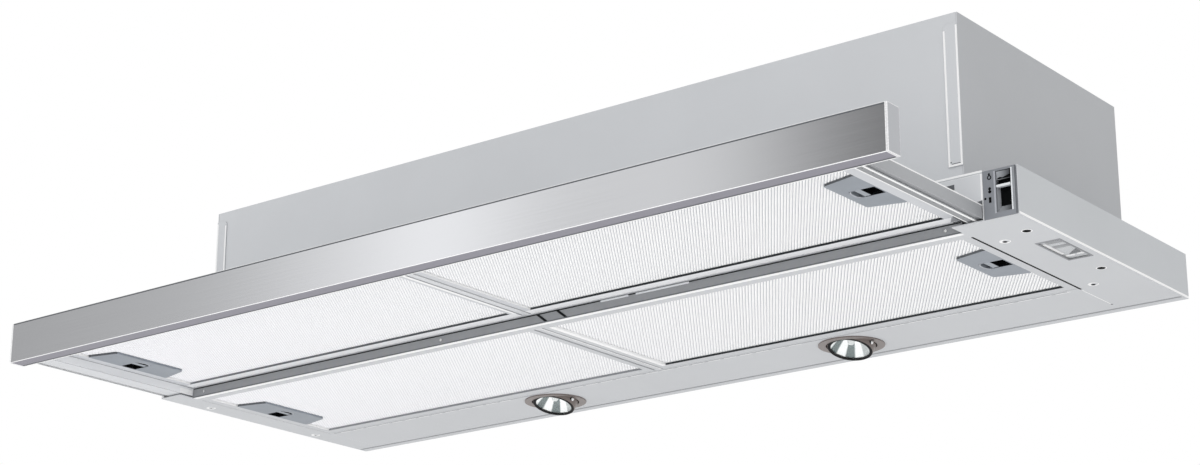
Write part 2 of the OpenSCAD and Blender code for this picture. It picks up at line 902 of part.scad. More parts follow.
// Head that swivels on two pins and holds the lamp
module lamp_head(side) {
    inner_r = head_r - head_t;
    color("rosybrown") {
        at_head(side) rotate_extrude($fn = round_fn) polygon(concat(
            head_arc(head_r, mouth_z, head_top),
            [[0, head_top], [0, head_top - head_t]],
            head_arc(inner_r, head_top - head_t, mouth_z)
        ));
        at_lamp(side) for (x = [-sleeve_r, inner_r])
            rod_x(x, 0, pivot_h, pivot_r, sleeve_r - inner_r);
    }
}

// Bowl behind the lens, with the neck that plugs into the head's back
module lamp_reflector(side) {
    outer = [for (i = [0:arc_steps]) let (s = i / arc_steps)
        [mouth_r * sqrt(1 - bowl_open_share * s), bowl_z + bowl_depth * s]];
    inner = [for (i = [arc_steps:-1:0]) let (s = i / arc_steps)
        [mouth_r * sqrt(1 - bowl_open_share * s) - bowl_t, bowl_z + bowl_depth * s]];
    neck_top = head_top - head_t;
    color("white") at_head(side) {
        rotate_extrude($fn = round_fn) polygon(concat(outer, inner));
        rod_z(0, 0, bowl_z + bowl_depth - bowl_t, neck_r, neck_top - bowl_z - bowl_depth + bowl_t);
    }
}

// Front glass of a lamp
module lamp_lens(side) {
    color("lightcyan") at_head(side) rod_z(0, 0, lens_z, mouth_r, lens_t);
}

module lamp_trim_right() {
    lamp_trim(1);
}
module lamp_trim_left() {
    lamp_trim(-1);
}
module lamp_head_right() {
    lamp_head(1);
}
module lamp_head_left() {
    lamp_head(-1);
}
module lamp_reflector_right() {
    lamp_reflector(1);
}
module lamp_reflector_left() {
    lamp_reflector(-1);
}
module lamp_lens_right() {
    lamp_lens(1);
}
module lamp_lens_left() {
    lamp_lens(-1);
}

// Front panel of the drawer: a closed profile, open at its ends
module front_panel() {
    x = right_x - cap_t;
    color("silver") difference() {
        block([-x, panel_front_y, panel_z], [x, panel_back_y, panel_z + panel_h]);
        block(
            [-x - over, panel_front_y + sheet_t, panel_z + sheet_t],
            [x + over, panel_back_y - sheet_t, panel_z + panel_h - sheet_t]
        );
    }
}

// End cap of the front panel, with a plug in the profile
module panel_cap(side) {
    plug = sheet_t + switch_clear;
    color("silver") on_side(side) {
        block([right_x - cap_t, panel_front_y, panel_z], [right_x, panel_back_y, panel_z + panel_h]);
        block(
            [right_x - 4 * cap_t, panel_front_y + plug, panel_z + plug],
            [right_x - cap_t, panel_back_y - plug, panel_z + panel_h - plug]
        );
    }
}

module panel_cap_right() {
    panel_cap(1);
}

module panel_cap_left() {
    panel_cap(-1);
}

// Hollow rail between x0 and x1, from the panel into the lower body, with a groove below
module slide_tube(x0, x1, groove_x) {
    end_y = front_y + slide_reach;
    difference() {
        block([x0, panel_back_y, slide_z], [x1, end_y, slide_top_z]);
        block(
            [x0 + thin_t, panel_back_y - over, slide_z + thin_t],
            [x1 - thin_t, end_y + over, slide_top_z - thin_t]
        );
        block(
            [groove_x, panel_back_y - over, slide_z - over],
            [groove_x + groove_w, end_y + over, slide_z + thin_t + over]
        );
    }
}

// Right slide, with the ledge and the web that carry the drawer box
module drawer_slide_right() {
    hole_x = slide_in_x + thin_t + (slide_w - 2 * thin_t - groove_w) / 2;
    color("lightgray") {
        difference() {
            slide_tube(slide_in_x, slide_right_x, slide_right_x - thin_t - groove_w);
            for (share = slide_hole_shares)
                rod_z(
                    hole_x, panel_back_y + share * (drawer_out + slide_reach), slide_z - over,
                    slide_hole_r, thin_t + 2 * over
                );
        }
        block(
            [right_edge_x, panel_back_y, drawer_z],
            [slide_in_x + thin_t, drawer_end_y, drawer_z + thin_t]
        );
        block([right_edge_x, panel_back_y, drawer_z], [right_edge_x + thin_t, drawer_end_y, cover_z]);
    }
}

// Left slide, with its web
module drawer_slide_left() {
    color("lightgray") {
        slide_tube(slide_left_x, left_edge_x - thin_t / 2, slide_left_x + thin_t);
        block([left_edge_x - thin_t, panel_back_y, drawer_z], [left_edge_x, drawer_end_y, cover_z]);
    }
}

// Bar behind the panel that carries the front ends of the drawer's filters
module drawer_front_bar() {
    color("lightgray") difference() {
        block(
            [left_edge_x, panel_back_y, drawer_z],
            [right_edge_x, panel_back_y + thin_t, cover_z]
        );
        stud_holes(panel_back_y, drawer_z);
    }
}

// Bar at the drawer's rear end: a channel on posts that leave the air its way
module drawer_rear_bar() {
    lip_y = front_y + drawer_lip;
    lip_z = drawer_z + lip_h;
    color("lightgray") {
        difference() {
            block([left_edge_x, lip_y, drawer_z], [right_edge_x, drawer_end_y, lip_z]);
            block(
                [left_edge_x - over, lip_y + thin_t, drawer_z + thin_t],
                [right_edge_x + over, drawer_end_y - thin_t, lip_z + over]
            );
            stud_holes(lip_y, drawer_z);
        }
        for (x = [left_edge_x, divider_x - post_w / 2, right_edge_x - post_w])
            block([x, lip_y + post_inset, drawer_z], [x + post_w, drawer_end_y - post_inset, cover_z]);
    }
}

module drawer_divider() {
    divider(panel_back_y + thin_t, front_y + drawer_lip, drawer_z, cover_z);
}

// Thin sheet that closes the drawer's top
module drawer_cover() {
    color("lightgray") block(
        [left_edge_x - thin_t, panel_back_y, cover_z],
        [right_edge_x + thin_t, drawer_end_y, drawer_top_z]
    );
}

// Places a cassette part, drawn from the pivot end along +X, on one side of a row
module at_cassette(side, y, z) {
    translate([divider_x + side * cassette_inner, y, z + filter_rise]) on_side(side) children();
}

// Cassette frame: a channel all round that opens inwards, with pivot studs and tongue slots
module cassette_frame(len, dep, mid) {
    win = [border_end_w, border_side_w];
    color("whitesmoke") difference() {
        union() {
            block([0, 0, 0], [len, dep, filter_t]);
            rod_y(stud_in, -stud_reach, stud_in, stud_r, dep + 2 * stud_reach);
        }
        block([border_t, border_t, border_t], [len - border_t, dep - border_t, filter_t - border_t]);
        block([win[0], win[1], -over], [len - win[0], dep - win[1], filter_t + over]);
        difference() {
            block([-over, -over, -over], [stud_in, dep + over, stud_in]);
            rod_y(stud_in, -2 * over, stud_in, stud_in, dep + 4 * over);
        }
        for (sy = [-1, 1])
            block(
                [len - 2 * border_t, mid + sy * (tongue_y + tongue_w / 2) - tongue_w / 2 - latch_clear,
                    latch_z - latch_clear],
                [len + over, mid + sy * (tongue_y + tongue_w / 2) + tongue_w / 2 + latch_clear,
                    latch_z + latch_t + latch_clear]
            );
    }
}

// Outline of a handle plate of length l, grown by g
function handle_outline(l, g) = [
    [-handle_w - g, (handle_taper - l) / 2 - g], [0, -l / 2 - g],
    [0, l / 2 + g], [-handle_w - g, (l - handle_taper) / 2 + g]
];

// Two layers of mesh in the cassette, cut out round the handle
module cassette_mesh(len, dep, mid, l) {
    color("white") difference() {
        for (z = [border_t, filter_t - border_t - mesh_t])
            block([border_t, border_t, z], [len - border_t, dep - border_t, z + mesh_t]);
        translate([len - border_end_w, mid, 0]) linear_extrude(height = filter_t)
            polygon(handle_outline(l, filter_gap));
        translate([len - border_end_w, mid, 0])
            block([-over, -pocket_y, 0], [border_end_w, pocket_y, filter_t]);
    }
}

// Handle plate with the finger hole and the pocket behind it
module cassette_handle(len, mid, l) {
    out = -filter_gap;
    color("lightslategray") translate([len - border_end_w, mid, 0]) difference() {
        union() {
            linear_extrude(height = handle_t) polygon(handle_outline(l, 0));
            block([-pocket_in, -pocket_y - pocket_t, 0], [out, pocket_y + pocket_t, pocket_top]);
        }
        block([-slot_in, -finger_l / 2, -over], [-finger_out, finger_l / 2, handle_t + over]);
        block([-slot_in, -pocket_y, handle_t], [-finger_out, pocket_y, pocket_top - pocket_t]);
        for (sy = [-1, 1])
            translate([0, sy * (tongue_y + tongue_w / 2), latch_z])
                block(
                    [-finger_in, -tongue_w / 2 - latch_clear, -latch_clear],
                    [over, tongue_w / 2 + latch_clear, latch_t + latch_clear]
                );
    }
}

// Latch: a finger tab, a bar and two tongues that run out through the frame
module cassette_latch(len, mid) {
    tip = border_end_w - tongue_back;
    color("slategray") translate([len - border_end_w, mid, 0]) {
        block(
            [-tab_in, -tongue_y - tongue_w, latch_z],
            [-finger_in, tongue_y + tongue_w, latch_z + latch_t]
        );
        block(
            [-tab_in, -finger_l / 2 + latch_clear, latch_clear],
            [-finger_in, finger_l / 2 - latch_clear, latch_z + latch_t]
        );
        for (sy = [-1, 1])
            translate([0, sy * (tongue_y + tongue_w / 2), latch_z])
                block([-tab_in, -tongue_w / 2, 0], [tip, tongue_w / 2, latch_t]);
    }
}

module rear_filter_frame_right() {
    at_cassette(1, rear_filter_y, floor_z) cassette_frame(right_len, rear_dep, rear_mid_right);
}
module rear_filter_mesh_right() {
    at_cassette(1, rear_filter_y, floor_z) cassette_mesh(right_len, rear_dep, rear_mid_right, handle_right);
}
module rear_filter_handle_right() {
    at_cassette(1, rear_filter_y, floor_z) cassette_handle(right_len, rear_mid_right, handle_right);
}
module rear_filter_latch_right() {
    at_cassette(1, rear_filter_y, floor_z) cassette_latch(right_len, rear_mid_right);
}
module rear_filter_frame_left() {
    at_cassette(-1, rear_filter_y, floor_z) cassette_frame(left_len, rear_dep, rear_mid_left);
}
module rear_filter_mesh_left() {
    at_cassette(-1, rear_filter_y, floor_z) cassette_mesh(left_len, rear_dep, rear_mid_left, handle_left);
}
module rear_filter_handle_left() {
    at_cassette(-1, rear_filter_y, floor_z) cassette_handle(left_len, rear_mid_left, handle_left);
}
module rear_filter_latch_left() {
    at_cassette(-1, rear_filter_y, floor_z) cassette_latch(left_len, rear_mid_left);
}
module front_filter_frame_right() {
    at_cassette(1, front_filter_y, drawer_z) cassette_frame(right_len, front_dep, front_mid_right);
}
module front_filter_mesh_right() {
    at_cassette(1, front_filter_y, drawer_z)
        cassette_mesh(right_len, front_dep, front_mid_right, handle_right);
}
module front_filter_handle_right() {
    at_cassette(1, front_filter_y, drawer_z) cassette_handle(right_len, front_mid_right, handle_right);
}
module front_filter_latch_right() {
    at_cassette(1, front_filter_y, drawer_z) cassette_latch(right_len, front_mid_right);
}
module front_filter_frame_left() {
    at_cassette(-1, front_filter_y, drawer_z) cassette_frame(left_len, front_dep, front_mid_left);
}
module front_filter_mesh_left() {
    at_cassette(-1, front_filter_y, drawer_z) cassette_mesh(left_len, front_dep, front_mid_left, handle_left);
}
module front_filter_handle_left() {
    at_cassette(-1, front_filter_y, drawer_z) cassette_handle(left_len, front_mid_left, handle_left);
}
module front_filter_latch_left() {
    at_cassette(-1, front_filter_y, drawer_z) cassette_latch(left_len, front_mid_left);
}

module casing_side_right() {
    casing_side(1);
}
module casing_side_left() {
    casing_side(-1);
}

casing_shell();
casing_side_right();
casing_side_left();
base_frame();
base_front();
end_plate_right();
end_plate_left();
rear_strip();
filter_crossbar();
crossbar_rivets();
rear_divider();
slide_channel_right();
slide_channel_left();
plate_screws();
window_cover();
control_bezel();
light_switch();
fan_switch();
duct_collar();
check_flap_front();
check_flap_rear();
blower_housing();
fan_wheel();
fan_motor();
terminal_box();
cable_gland();
lamp_transformer();
lamp_trim_right();
lamp_trim_left();
lamp_head_right();
lamp_head_left();
lamp_reflector_right();
lamp_reflector_left();
lamp_lens_right();
lamp_lens_left();
front_panel();
panel_cap_right();
panel_cap_left();
drawer_slide_right();
drawer_slide_left();
drawer_front_bar();
drawer_rear_bar();
drawer_divider();
drawer_cover();
rear_filter_frame_right();
rear_filter_mesh_right();
rear_filter_handle_right();
rear_filter_latch_right();
rear_filter_frame_left();
rear_filter_mesh_left();
rear_filter_handle_left();
rear_filter_latch_left();
front_filter_frame_right();
front_filter_mesh_right();
front_filter_handle_right();
front_filter_latch_right();
front_filter_frame_left();
front_filter_mesh_left();
front_filter_handle_left();
front_filter_latch_left();
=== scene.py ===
import json
import math
import bmesh
import bpy
import numpy as np
from mathutils import Matrix, Vector


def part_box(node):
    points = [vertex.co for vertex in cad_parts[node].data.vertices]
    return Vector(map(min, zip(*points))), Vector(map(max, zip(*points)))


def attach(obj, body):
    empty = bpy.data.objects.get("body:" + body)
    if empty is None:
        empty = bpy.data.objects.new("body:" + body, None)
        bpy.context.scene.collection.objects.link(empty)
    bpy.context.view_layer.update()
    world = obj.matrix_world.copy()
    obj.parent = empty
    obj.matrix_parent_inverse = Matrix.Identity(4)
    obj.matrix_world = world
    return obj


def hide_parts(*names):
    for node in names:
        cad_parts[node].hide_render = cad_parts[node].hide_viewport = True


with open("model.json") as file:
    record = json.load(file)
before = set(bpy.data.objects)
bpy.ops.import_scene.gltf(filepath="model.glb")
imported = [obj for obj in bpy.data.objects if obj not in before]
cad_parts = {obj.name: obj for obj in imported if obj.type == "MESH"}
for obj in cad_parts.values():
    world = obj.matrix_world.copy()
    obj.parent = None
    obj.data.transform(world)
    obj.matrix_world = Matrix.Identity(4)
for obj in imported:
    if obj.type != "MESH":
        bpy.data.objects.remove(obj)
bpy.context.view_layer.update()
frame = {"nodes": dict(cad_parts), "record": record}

nodes = frame["nodes"]
bodyOf = {node: body for body, names in frame["record"]["behaviour"]["bodies"].items() for node in names}
sides = ("right", "left")
rows = ("rear", "front")


# shader values and finishes

def screen(red, green, blue):
    # a screen colour, 0 to 255, as the linear colour that a shader takes
    shares = [v / 255 for v in (red, green, blue)]
    return tuple(v / 12.92 if v <= 0.04045 else ((v + 0.055) / 1.055) ** 2.4 for v in shares) + (1.0,)


def scaled(colour, share):
    # a colour made lighter or darker by a share, at most 1
    return tuple(min(1.0, v * share) for v in colour[:3]) + (1.0,)


class Wire:
    # a shader socket that can be written in sums; each sum adds its Math node
    def __init__(self, shading, socket):
        self.shading = shading
        self.socket = socket

    def maths(self, operation, *others):
        return self.shading.node("ShaderNodeMath", {"operation": operation}, dict(enumerate((self,) + others)))

    def __add__(self, other):
        return self.maths("ADD", other)

    def __sub__(self, other):
        return self.maths("SUBTRACT", other)

    def __mul__(self, other):
        return self.maths("MULTIPLY", other)

    def __truediv__(self, other):
        return self.maths("DIVIDE", other)

    def __radd__(self, other):
        return self.maths("ADD", other)

    def __rmul__(self, other):
        return self.maths("MULTIPLY", other)

    def __rsub__(self, other):
        return self.shading.node("ShaderNodeMath", {"operation": "SUBTRACT"}, {0: other, 1: self})

    def wave(self):
        # 0 on each whole number, 1 halfway between two, in straight slopes
        return self.maths("PINGPONG", 0.5) * 2.0

    def between(self, low, high):
        # 0 below low, 1 above high, eased between
        return self.shading.node(
            "ShaderNodeMapRange", {"interpolation_type": "SMOOTHSTEP"}, {"Value": self, 1: low, 2: high})


class Shading:
    # a node tree, with one way to add a node and one to join a value or a link to a socket
    def __init__(self, tree):
        self.tree = tree

    def join(self, socket, value):
        if isinstance(value, Wire):
            self.tree.links.new(value.socket, socket)
        else:
            socket.default_value = value

    def node(self, kind, settings=None, inputs=None, output=0):
        made = self.tree.nodes.new(kind)
        for key, value in (settings or {}).items():
            if key == "stops":
                for position, shade in value[2:]:
                    made.color_ramp.elements.new(position)
                for stop, (position, shade) in zip(made.color_ramp.elements, sorted(value)):
                    stop.position, stop.color = position, (shade, shade, shade, 1)
            else:
                setattr(made, key, value)
        for key, value in (inputs or {}).items():
            self.join(made.inputs[key], value)
        return Wire(self, made.outputs[output]) if made.outputs else made

    def mix(self, share, first, second):
        return self.node("ShaderNodeMix", {"data_type": "RGBA"}, {0: share, 6: first, 7: second}, 2)

    def parts(self, vector):
        split = self.node("ShaderNodeSeparateXYZ", inputs={0: vector})
        return [Wire(self, out) for out in split.socket.node.outputs]


class Finish(Shading):
    # one material: its shader, and the nodes that vary it
    def __init__(self, name, plain):
        self.material = bpy.data.materials.new(name)
        self.material.use_nodes = True
        super().__init__(self.material.node_tree)
        self.shader = self.tree.nodes["Principled BSDF"]
        self.give(plain)

    def give(self, values):
        for socket, value in values.items():
            self.join(self.shader.inputs[socket], value)
        return self

    def place(self):
        return self.node("ShaderNodeTexCoord", output="Object")

    def noise(self, scale, stretch=(1, 1, 1), detail=3.0):
        laid = self.node("ShaderNodeMapping", inputs={"Vector": self.place(), "Scale": stretch})
        return self.node("ShaderNodeTexNoise", inputs={"Vector": laid, "Scale": scale, "Detail": detail})

    def bump(self, height, strength, distance):
        self.give({"Normal": self.node(
            "ShaderNodeBump", inputs={"Height": height, "Strength": strength, "Distance": distance})})
        return self


def paint(name, colour, rough, grain=0.00005, metal=0.0, coat=0.0, gloss=0.5):
    # sprayed paint: faint clouds in the colour, fine orange peel in the surface
    made = Finish(name, {"Metallic": metal, "Coat Weight": coat, "Coat Roughness": 0.25,
                         "Specular IOR Level": gloss})
    clouds = made.noise(7.0)
    peel = made.noise(1400.0, detail=2.0)
    made.give({
        "Base Color": made.mix(clouds.between(0.25, 0.75), scaled(colour, 0.95), colour),
        "Roughness": rough + 0.1 * (clouds - 0.5) + 0.06 * peel,
    })
    return made.bump(peel, 0.35, grain)


def moulded(name, colour, rough, grain=0.00007, gloss=0.5):
    # moulded plastic: fine spark grain, a little dust in the low spots
    made = Finish(name, {"Metallic": 0.0, "Specular IOR Level": gloss})
    sparks = made.noise(2600.0, detail=4.0)
    clouds = made.noise(40.0)
    made.give({
        "Base Color": made.mix(clouds.between(0.3, 0.8), colour, scaled(colour, 1.1)),
        "Roughness": rough + 0.12 * (sparks - 0.5),
    })
    return made.bump(sparks, 0.5, grain)


def brushed(name, colour, rough, along=(1.2, 900, 900), streak=0.06, metal=1.0, spread=0.10, grain=0.25):
    # brushed metal: fine streaks drawn out along the length, in colour, roughness and surface
    made = Finish(name, {"Metallic": metal})
    fine = made.noise(3.0, along, 8.0)
    made.give({
        "Base Color": made.mix(fine.between(0.3, 0.7), scaled(colour, 1 - streak),
                               scaled(colour, 1 + streak)),
        "Roughness": rough + spread * (fine - 0.5),
    })
    return made.bump(fine, grain, 0.00003)


finishes = {
    "casing": paint("casingPaint", screen(211, 213, 216), 0.55, gloss=0.2),
    # the casing's sides: the casing paint made darker, painted shade
    "casingSide": paint("casingSidePaint", screen(182, 184, 187), 0.5),
    "body": paint("bodyPaint", screen(197, 200, 203), 0.45),
    "under": paint("undersidePaint", screen(203, 205, 208), 0.45),
    "front": paint("frontWallPaint", screen(215, 217, 220), 0.5),
    # near white: painted highlight on rounded edges, folds, hems, rims and dimples; also the bulbs' own white
    "edge": paint("paleAndPaintedHighlight", screen(253, 253, 253), 0.3),
    "panel": brushed("brushedPanel", screen(226, 227, 230), 0.115, streak=0.02, spread=0.05, grain=0.08),
    # near white for the panel's rounded edges: painted highlight
    "panelEdge": paint("panelEdge", screen(253, 253, 254), 0.25, metal=0.2),
    # the panel's underside: the steel darker and violet, painted shade and reflection
    "panelUnder": brushed("panelUndersideShade", screen(138, 136, 147), 0.36, metal=0.3, streak=0.03),
    "cap": paint("capPaint", screen(186, 188, 192), 0.4),
    "rail": brushed("railSteel", screen(171, 173, 176), 0.5, (3, 700, 700), 0.03, 0.0),
    "railUnder": brushed("railUnderside", screen(148, 150, 153), 0.42, (700, 3, 700), 0.04, 0.2),
    "ledge": paint("ledgePaint", screen(216, 218, 221), 0.42),
    # the crossbar's front: darker than its underside, painted shade
    "web": paint("crossbarShadedPaint", screen(140, 142, 145), 0.45),
    "shade": paint("shadedWall", screen(92, 95, 99), 0.6),
    "line": paint("greyLine", screen(160, 162, 166), 0.5),
    "channel": brushed("zincChannel", screen(176, 178, 181), 0.42, (300, 4, 300), 0.06),
    "border": paint("filterBorder", screen(207, 209, 213), 0.4),
    # near white for lit faces and folds: painted highlight
    "pale": paint("paleFoldHighlight", screen(243, 244, 246), 0.4),
    "handle": moulded("handlePlastic", screen(139, 145, 153), 0.42),
    "latch": moulded("latchPlastic", screen(142, 148, 156), 0.42),
    "tab": moulded("fingerTab", screen(150, 156, 164), 0.38),
    # near black for finger holes and pockets: painted shade
    "pocket": moulded("pocketPaintedShade", screen(10, 11, 13), 0.7, gloss=0.06),
    "control": moulded("controlPlastic", screen(130, 133, 139), 0.45, 0.0002),
    "pad": moulded("padPlastic", screen(140, 143, 148), 0.4, 0.00012),
    # near white: painted highlight on the fan's ridge and beside the slot
    "ridge": moulded("ridgePaintedHighlight", screen(226, 229, 232), 0.3),
    # pale: painted highlight on the slot's left fold and round the finger holes
    "fold": moulded("paleControlFoldHighlight", screen(170, 173, 179), 0.4),
    "midGrey": moulded("midGreyTrim", screen(134, 136, 140), 0.4),
    # near black for the control slot's walls, painted shade, and for dark lines on the crossbar
    "well": moulded("wellPaintedShade", screen(24, 26, 28), 0.5, gloss=0.1),
    # near black for printed marks, and as painted shade in recesses, holes and under the switches
    "print": moulded("printAndPaintedShade", screen(10, 11, 13), 0.6, gloss=0.06),
    "black": moulded("blackPlastic", screen(38, 39, 41), 0.5),
    "blower": moulded("blowerPlastic", screen(92, 95, 99), 0.55),
    "motor": paint("motorPaint", screen(82, 84, 88), 0.5),
    "screw": brushed("screwMetal", screen(222, 222, 221), 0.25, (300, 300, 300), 0.05),
    "bronze": paint("lampBronze", screen(121, 110, 106), 0.34, metal=0.3, coat=0.3),
    # near black: the lamp seal and the head's lower face, and as painted shadow on the rounded edges of trim and
    # head
    "rim": paint("lampRim", screen(12, 12, 13), 0.4, gloss=0.12),
}


def graded(name, first, last, low, high, rough):
    # paint that passes from one colour to the other along the hood's width, between two places in metres
    made = Finish(name, {"Metallic": 0.0, "Specular IOR Level": 0.15})
    share = made.parts(made.place())[0].between(low, high)
    made.give({"Base Color": made.mix(share, first, last), "Roughness": rough + 0.08 * made.noise(30.0)})
    return made


finishes["frontGap"] = graded("frontGapShade", screen(120, 122, 126), screen(46, 48, 51), -0.42, 0.1, 0.6)
finishes["rearGap"] = graded("rearGapShade", screen(140, 142, 146), screen(50, 52, 55), -0.03, 0.0, 0.6)
finishes["rocker"] = graded("rockerShade", screen(172, 175, 180), screen(58, 60, 64), 0.430, 0.4445, 0.4)

# expanded aluminium: diamonds between strands that cross at a slant, in millimetres. The tuck is how far they
# go on under the handle plates, and "plateLength" is about these plates' length.
clothLook = {"pitches": {"front": 2.64, "rear": 2.93}, "slant": 0.68, "opening": 0.5, "depth": 0.9, "tuck": 2.2,
             "plateLength": 30,
             # strand colours: plain and light, with grey for one family of grooves and for the hollows, that grey
             # painted shade
             "plain": screen(243, 243, 246), "light": screen(254, 254, 254), "groove": screen(172, 175, 181),
             "hollowShade": screen(204, 207, 212)}


def wireCloth(row):
    # near-white strands; the hollows and one family of grooves are greyer, painted shade, and this painted shade
    # is stronger to the right
    made = Finish(row + "Mesh", {"Metallic": 0.1})
    x, y, z = made.parts(made.place())
    pitch = clothLook["pitches"][row] / 1000
    first = ((x + clothLook["slant"] * y) / pitch).wave()
    second = ((x - clothLook["slant"] * y) / pitch).wave()
    hollowShade = first.between(0.35, 0.9) * second.between(0.2, 0.8)
    strength = 0.24 + 0.76 * (x + 0.1 * made.noise(9.0)).between(-0.42, 0.32)
    light = made.mix(strength, clothLook["plain"], clothLook["light"])
    grooved = made.mix(first.between(0.5, 1.0) * strength, light, clothLook["groove"])
    made.give({
        "Base Color": made.mix(hollowShade * strength, grooved, clothLook["hollowShade"]),
        "Roughness": 0.42 + 0.1 * made.noise(60.0),
    })
    return made


for row in rows:
    finishes[row + "Mesh"] = wireCloth(row)


def clearGlass(name, colour, alpha, rough):
    # clear glass or plastic: a faint haze in colour, roughness and clearness
    made = Finish(name, {"Metallic": 0.0, "Coat Weight": 0.4})
    haze = made.noise(90.0)
    made.give({
        "Base Color": made.mix(haze, scaled(colour, 0.96), colour),
        "Roughness": rough + 0.05 * haze,
        "Alpha": alpha + 0.06 * haze,
    })
    return made


finishes["lens"] = clearGlass("lampGlass", screen(236, 246, 244), 0.10, 0.04)
finishes["window"] = clearGlass("windowPlastic", screen(236, 238, 240), 0.10, 0.2)


def mirrorFinish():
    # bright bowl: a painted glow, and each facet has its own painted reflection, light or dark, kept in the
    # piece's own attribute
    made = Finish("lampMirror", {"Metallic": 0.2, "Emission Strength": 0.34})
    facet = made.node("ShaderNodeAttribute", {"attribute_name": "facet"}, output=2)
    streak = made.noise(160.0)
    shade = made.mix(facet, screen(46, 64, 67), screen(255, 255, 255))
    made.give({
        "Base Color": shade,
        "Emission Color": shade,
        "Roughness": 0.14 + 0.1 * streak,
    })
    return made


finishes["mirror"] = mirrorFinish()


# building helpers; shapes are worked out in millimetres, each as its points and its faces

def extent(node):
    # a node's lowest and highest corners
    low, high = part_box(node)
    return np.array(low) * 1000, np.array(high) * 1000


def addPiece(name, shape, body, finish, smooth=None, weld=False, values=None):
    # a mesh from points and faces, placed on its body
    points, faces = shape
    mesh = bpy.data.meshes.new(name)
    mesh.from_pydata((np.asarray(points, dtype=float) / 1000).tolist(), [], [list(map(int, f)) for f in faces])
    mesh.update()
    for key, numbers in (values or {}).items():
        mesh.attributes.new(key, "FLOAT", "POINT").data.foreach_set("value", np.asarray(numbers, dtype=np.float32))
    if weld:
        work = bmesh.new()
        work.from_mesh(mesh)
        bmesh.ops.remove_doubles(work, verts=work.verts, dist=1e-6)
        bmesh.ops.dissolve_degenerate(work, dist=1e-7, edges=work.edges)
        work.to_mesh(mesh)
        work.free()
    return settle(name, mesh, body, finish, smooth)


def settle(name, mesh, body, finish, smooth=None):
    piece = bpy.data.objects.new(name, mesh)
    bpy.context.scene.collection.objects.link(piece)
    for each in ([finish] if isinstance(finish, str) else finish):
        mesh.materials.append(finishes[each].material)
    if smooth is not None:
        mesh.shade_smooth()
        mesh.set_sharp_from_angle(angle=math.radians(smooth))
    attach(piece, body)
    return piece


def together(*shapes):
    # several shapes as one: their points stacked, their faces counted on
    points, faces, start = [], [], 0
    for somePoints, someFaces in shapes:
        points.append(np.asarray(somePoints, dtype=float))
        faces += [[int(i) + start for i in face] for face in someFaces]
        start += len(somePoints)
    return np.concatenate(points), faces


def gridFaces(across, along, closeAcross=False, closeAlong=False):
    # quads between the points of a grid that is stored row by row, each row "along" points long
    i = np.arange(across if closeAcross else across - 1)
    j = np.arange(along if closeAlong else along - 1)
    a, b = np.meshgrid(i, j, indexing="ij")
    a, b = a.ravel(), b.ravel()
    c, d = (a + 1) % across, (b + 1) % along
    return np.stack([a * along + b, c * along + b, c * along + d, a * along + d], axis=1)


def unit(vectors):
    # each vector over its own length
    return vectors / np.linalg.norm(vectors, axis=-1, keepdims=True)


def rounded(corners, radius, steps=5):
    # a polygon whose corners are curves: each leaves one side and meets the next at the radius from the corner,
    # (1-t)^2 a + 2t(1-t) corner + t^2 b
    corners = np.asarray(corners, dtype=float)
    a = corners + unit(np.roll(corners, 1, 0) - corners) * radius
    b = corners + unit(np.roll(corners, -1, 0) - corners) * radius
    t = np.linspace(0, 1, steps)[None, :, None]
    return ((1 - t) ** 2 * a[:, None] + 2 * t * (1 - t) * corners[:, None] + t ** 2 * b[:, None]).reshape(-1, 2)


def circle(radius, steps=24, centre=(0, 0)):
    # points at even angles: centre + radius (cos angle, sin angle)
    angle = np.linspace(0, 2 * math.pi, steps, endpoint=False)
    return np.stack([centre[0] + radius * np.cos(angle), centre[1] + radius * np.sin(angle)], axis=1)


def oblong(x0, y0, x1, y1, radius=0.0):
    # a rectangle between two opposite corners, its corners rounded where there is a radius
    corners = [(x0, y0), (x1, y0), (x1, y1), (x0, y1)]
    return rounded(corners, radius) if radius else np.array(corners, dtype=float)


def slab(outline, low, high, ease=0.0):
    # a plate between two heights: the outline, drawn in by the ease at both rims along its mitred inward normal
    outline = np.asarray(outline, dtype=float)
    ahead = unit(np.roll(outline, -1, 0) - outline)
    inward = np.stack([-ahead[:, 1], ahead[:, 0]], axis=1)
    mitre = unit(inward + np.roll(inward, 1, 0))
    mitre /= np.clip((mitre * inward).sum(-1, keepdims=True), 0.4, 1)
    rings = [(ease, low), (0, low + ease), (0, high - ease), (ease, high)] if ease else [(0, low), (0, high)]
    points = np.concatenate([
        np.concatenate([outline + mitre * pull, np.full((len(outline), 1), z)], axis=1) for pull, z in rings])
    count = len(outline)
    faces = gridFaces(len(rings), count, closeAlong=True)[:, ::-1].tolist()
    faces += [list(range(count))[::-1], list(range((len(rings) - 1) * count, len(rings) * count))]
    return points, faces


def lathe(profile, centre, turns=48, closed=False):
    # a profile of (radius, height) pairs turned about an upright axis through the centre
    profile = np.asarray(profile, dtype=float)
    angle = np.linspace(0, 2 * math.pi, turns, endpoint=False)[:, None]
    points = np.stack([profile[:, 0] * np.cos(angle), profile[:, 0] * np.sin(angle),
                       np.broadcast_to(profile[:, 1], (turns, len(profile)))], axis=-1)
    return points.reshape(-1, 3) + np.asarray(centre, dtype=float), gridFaces(turns, len(profile), True, closed)


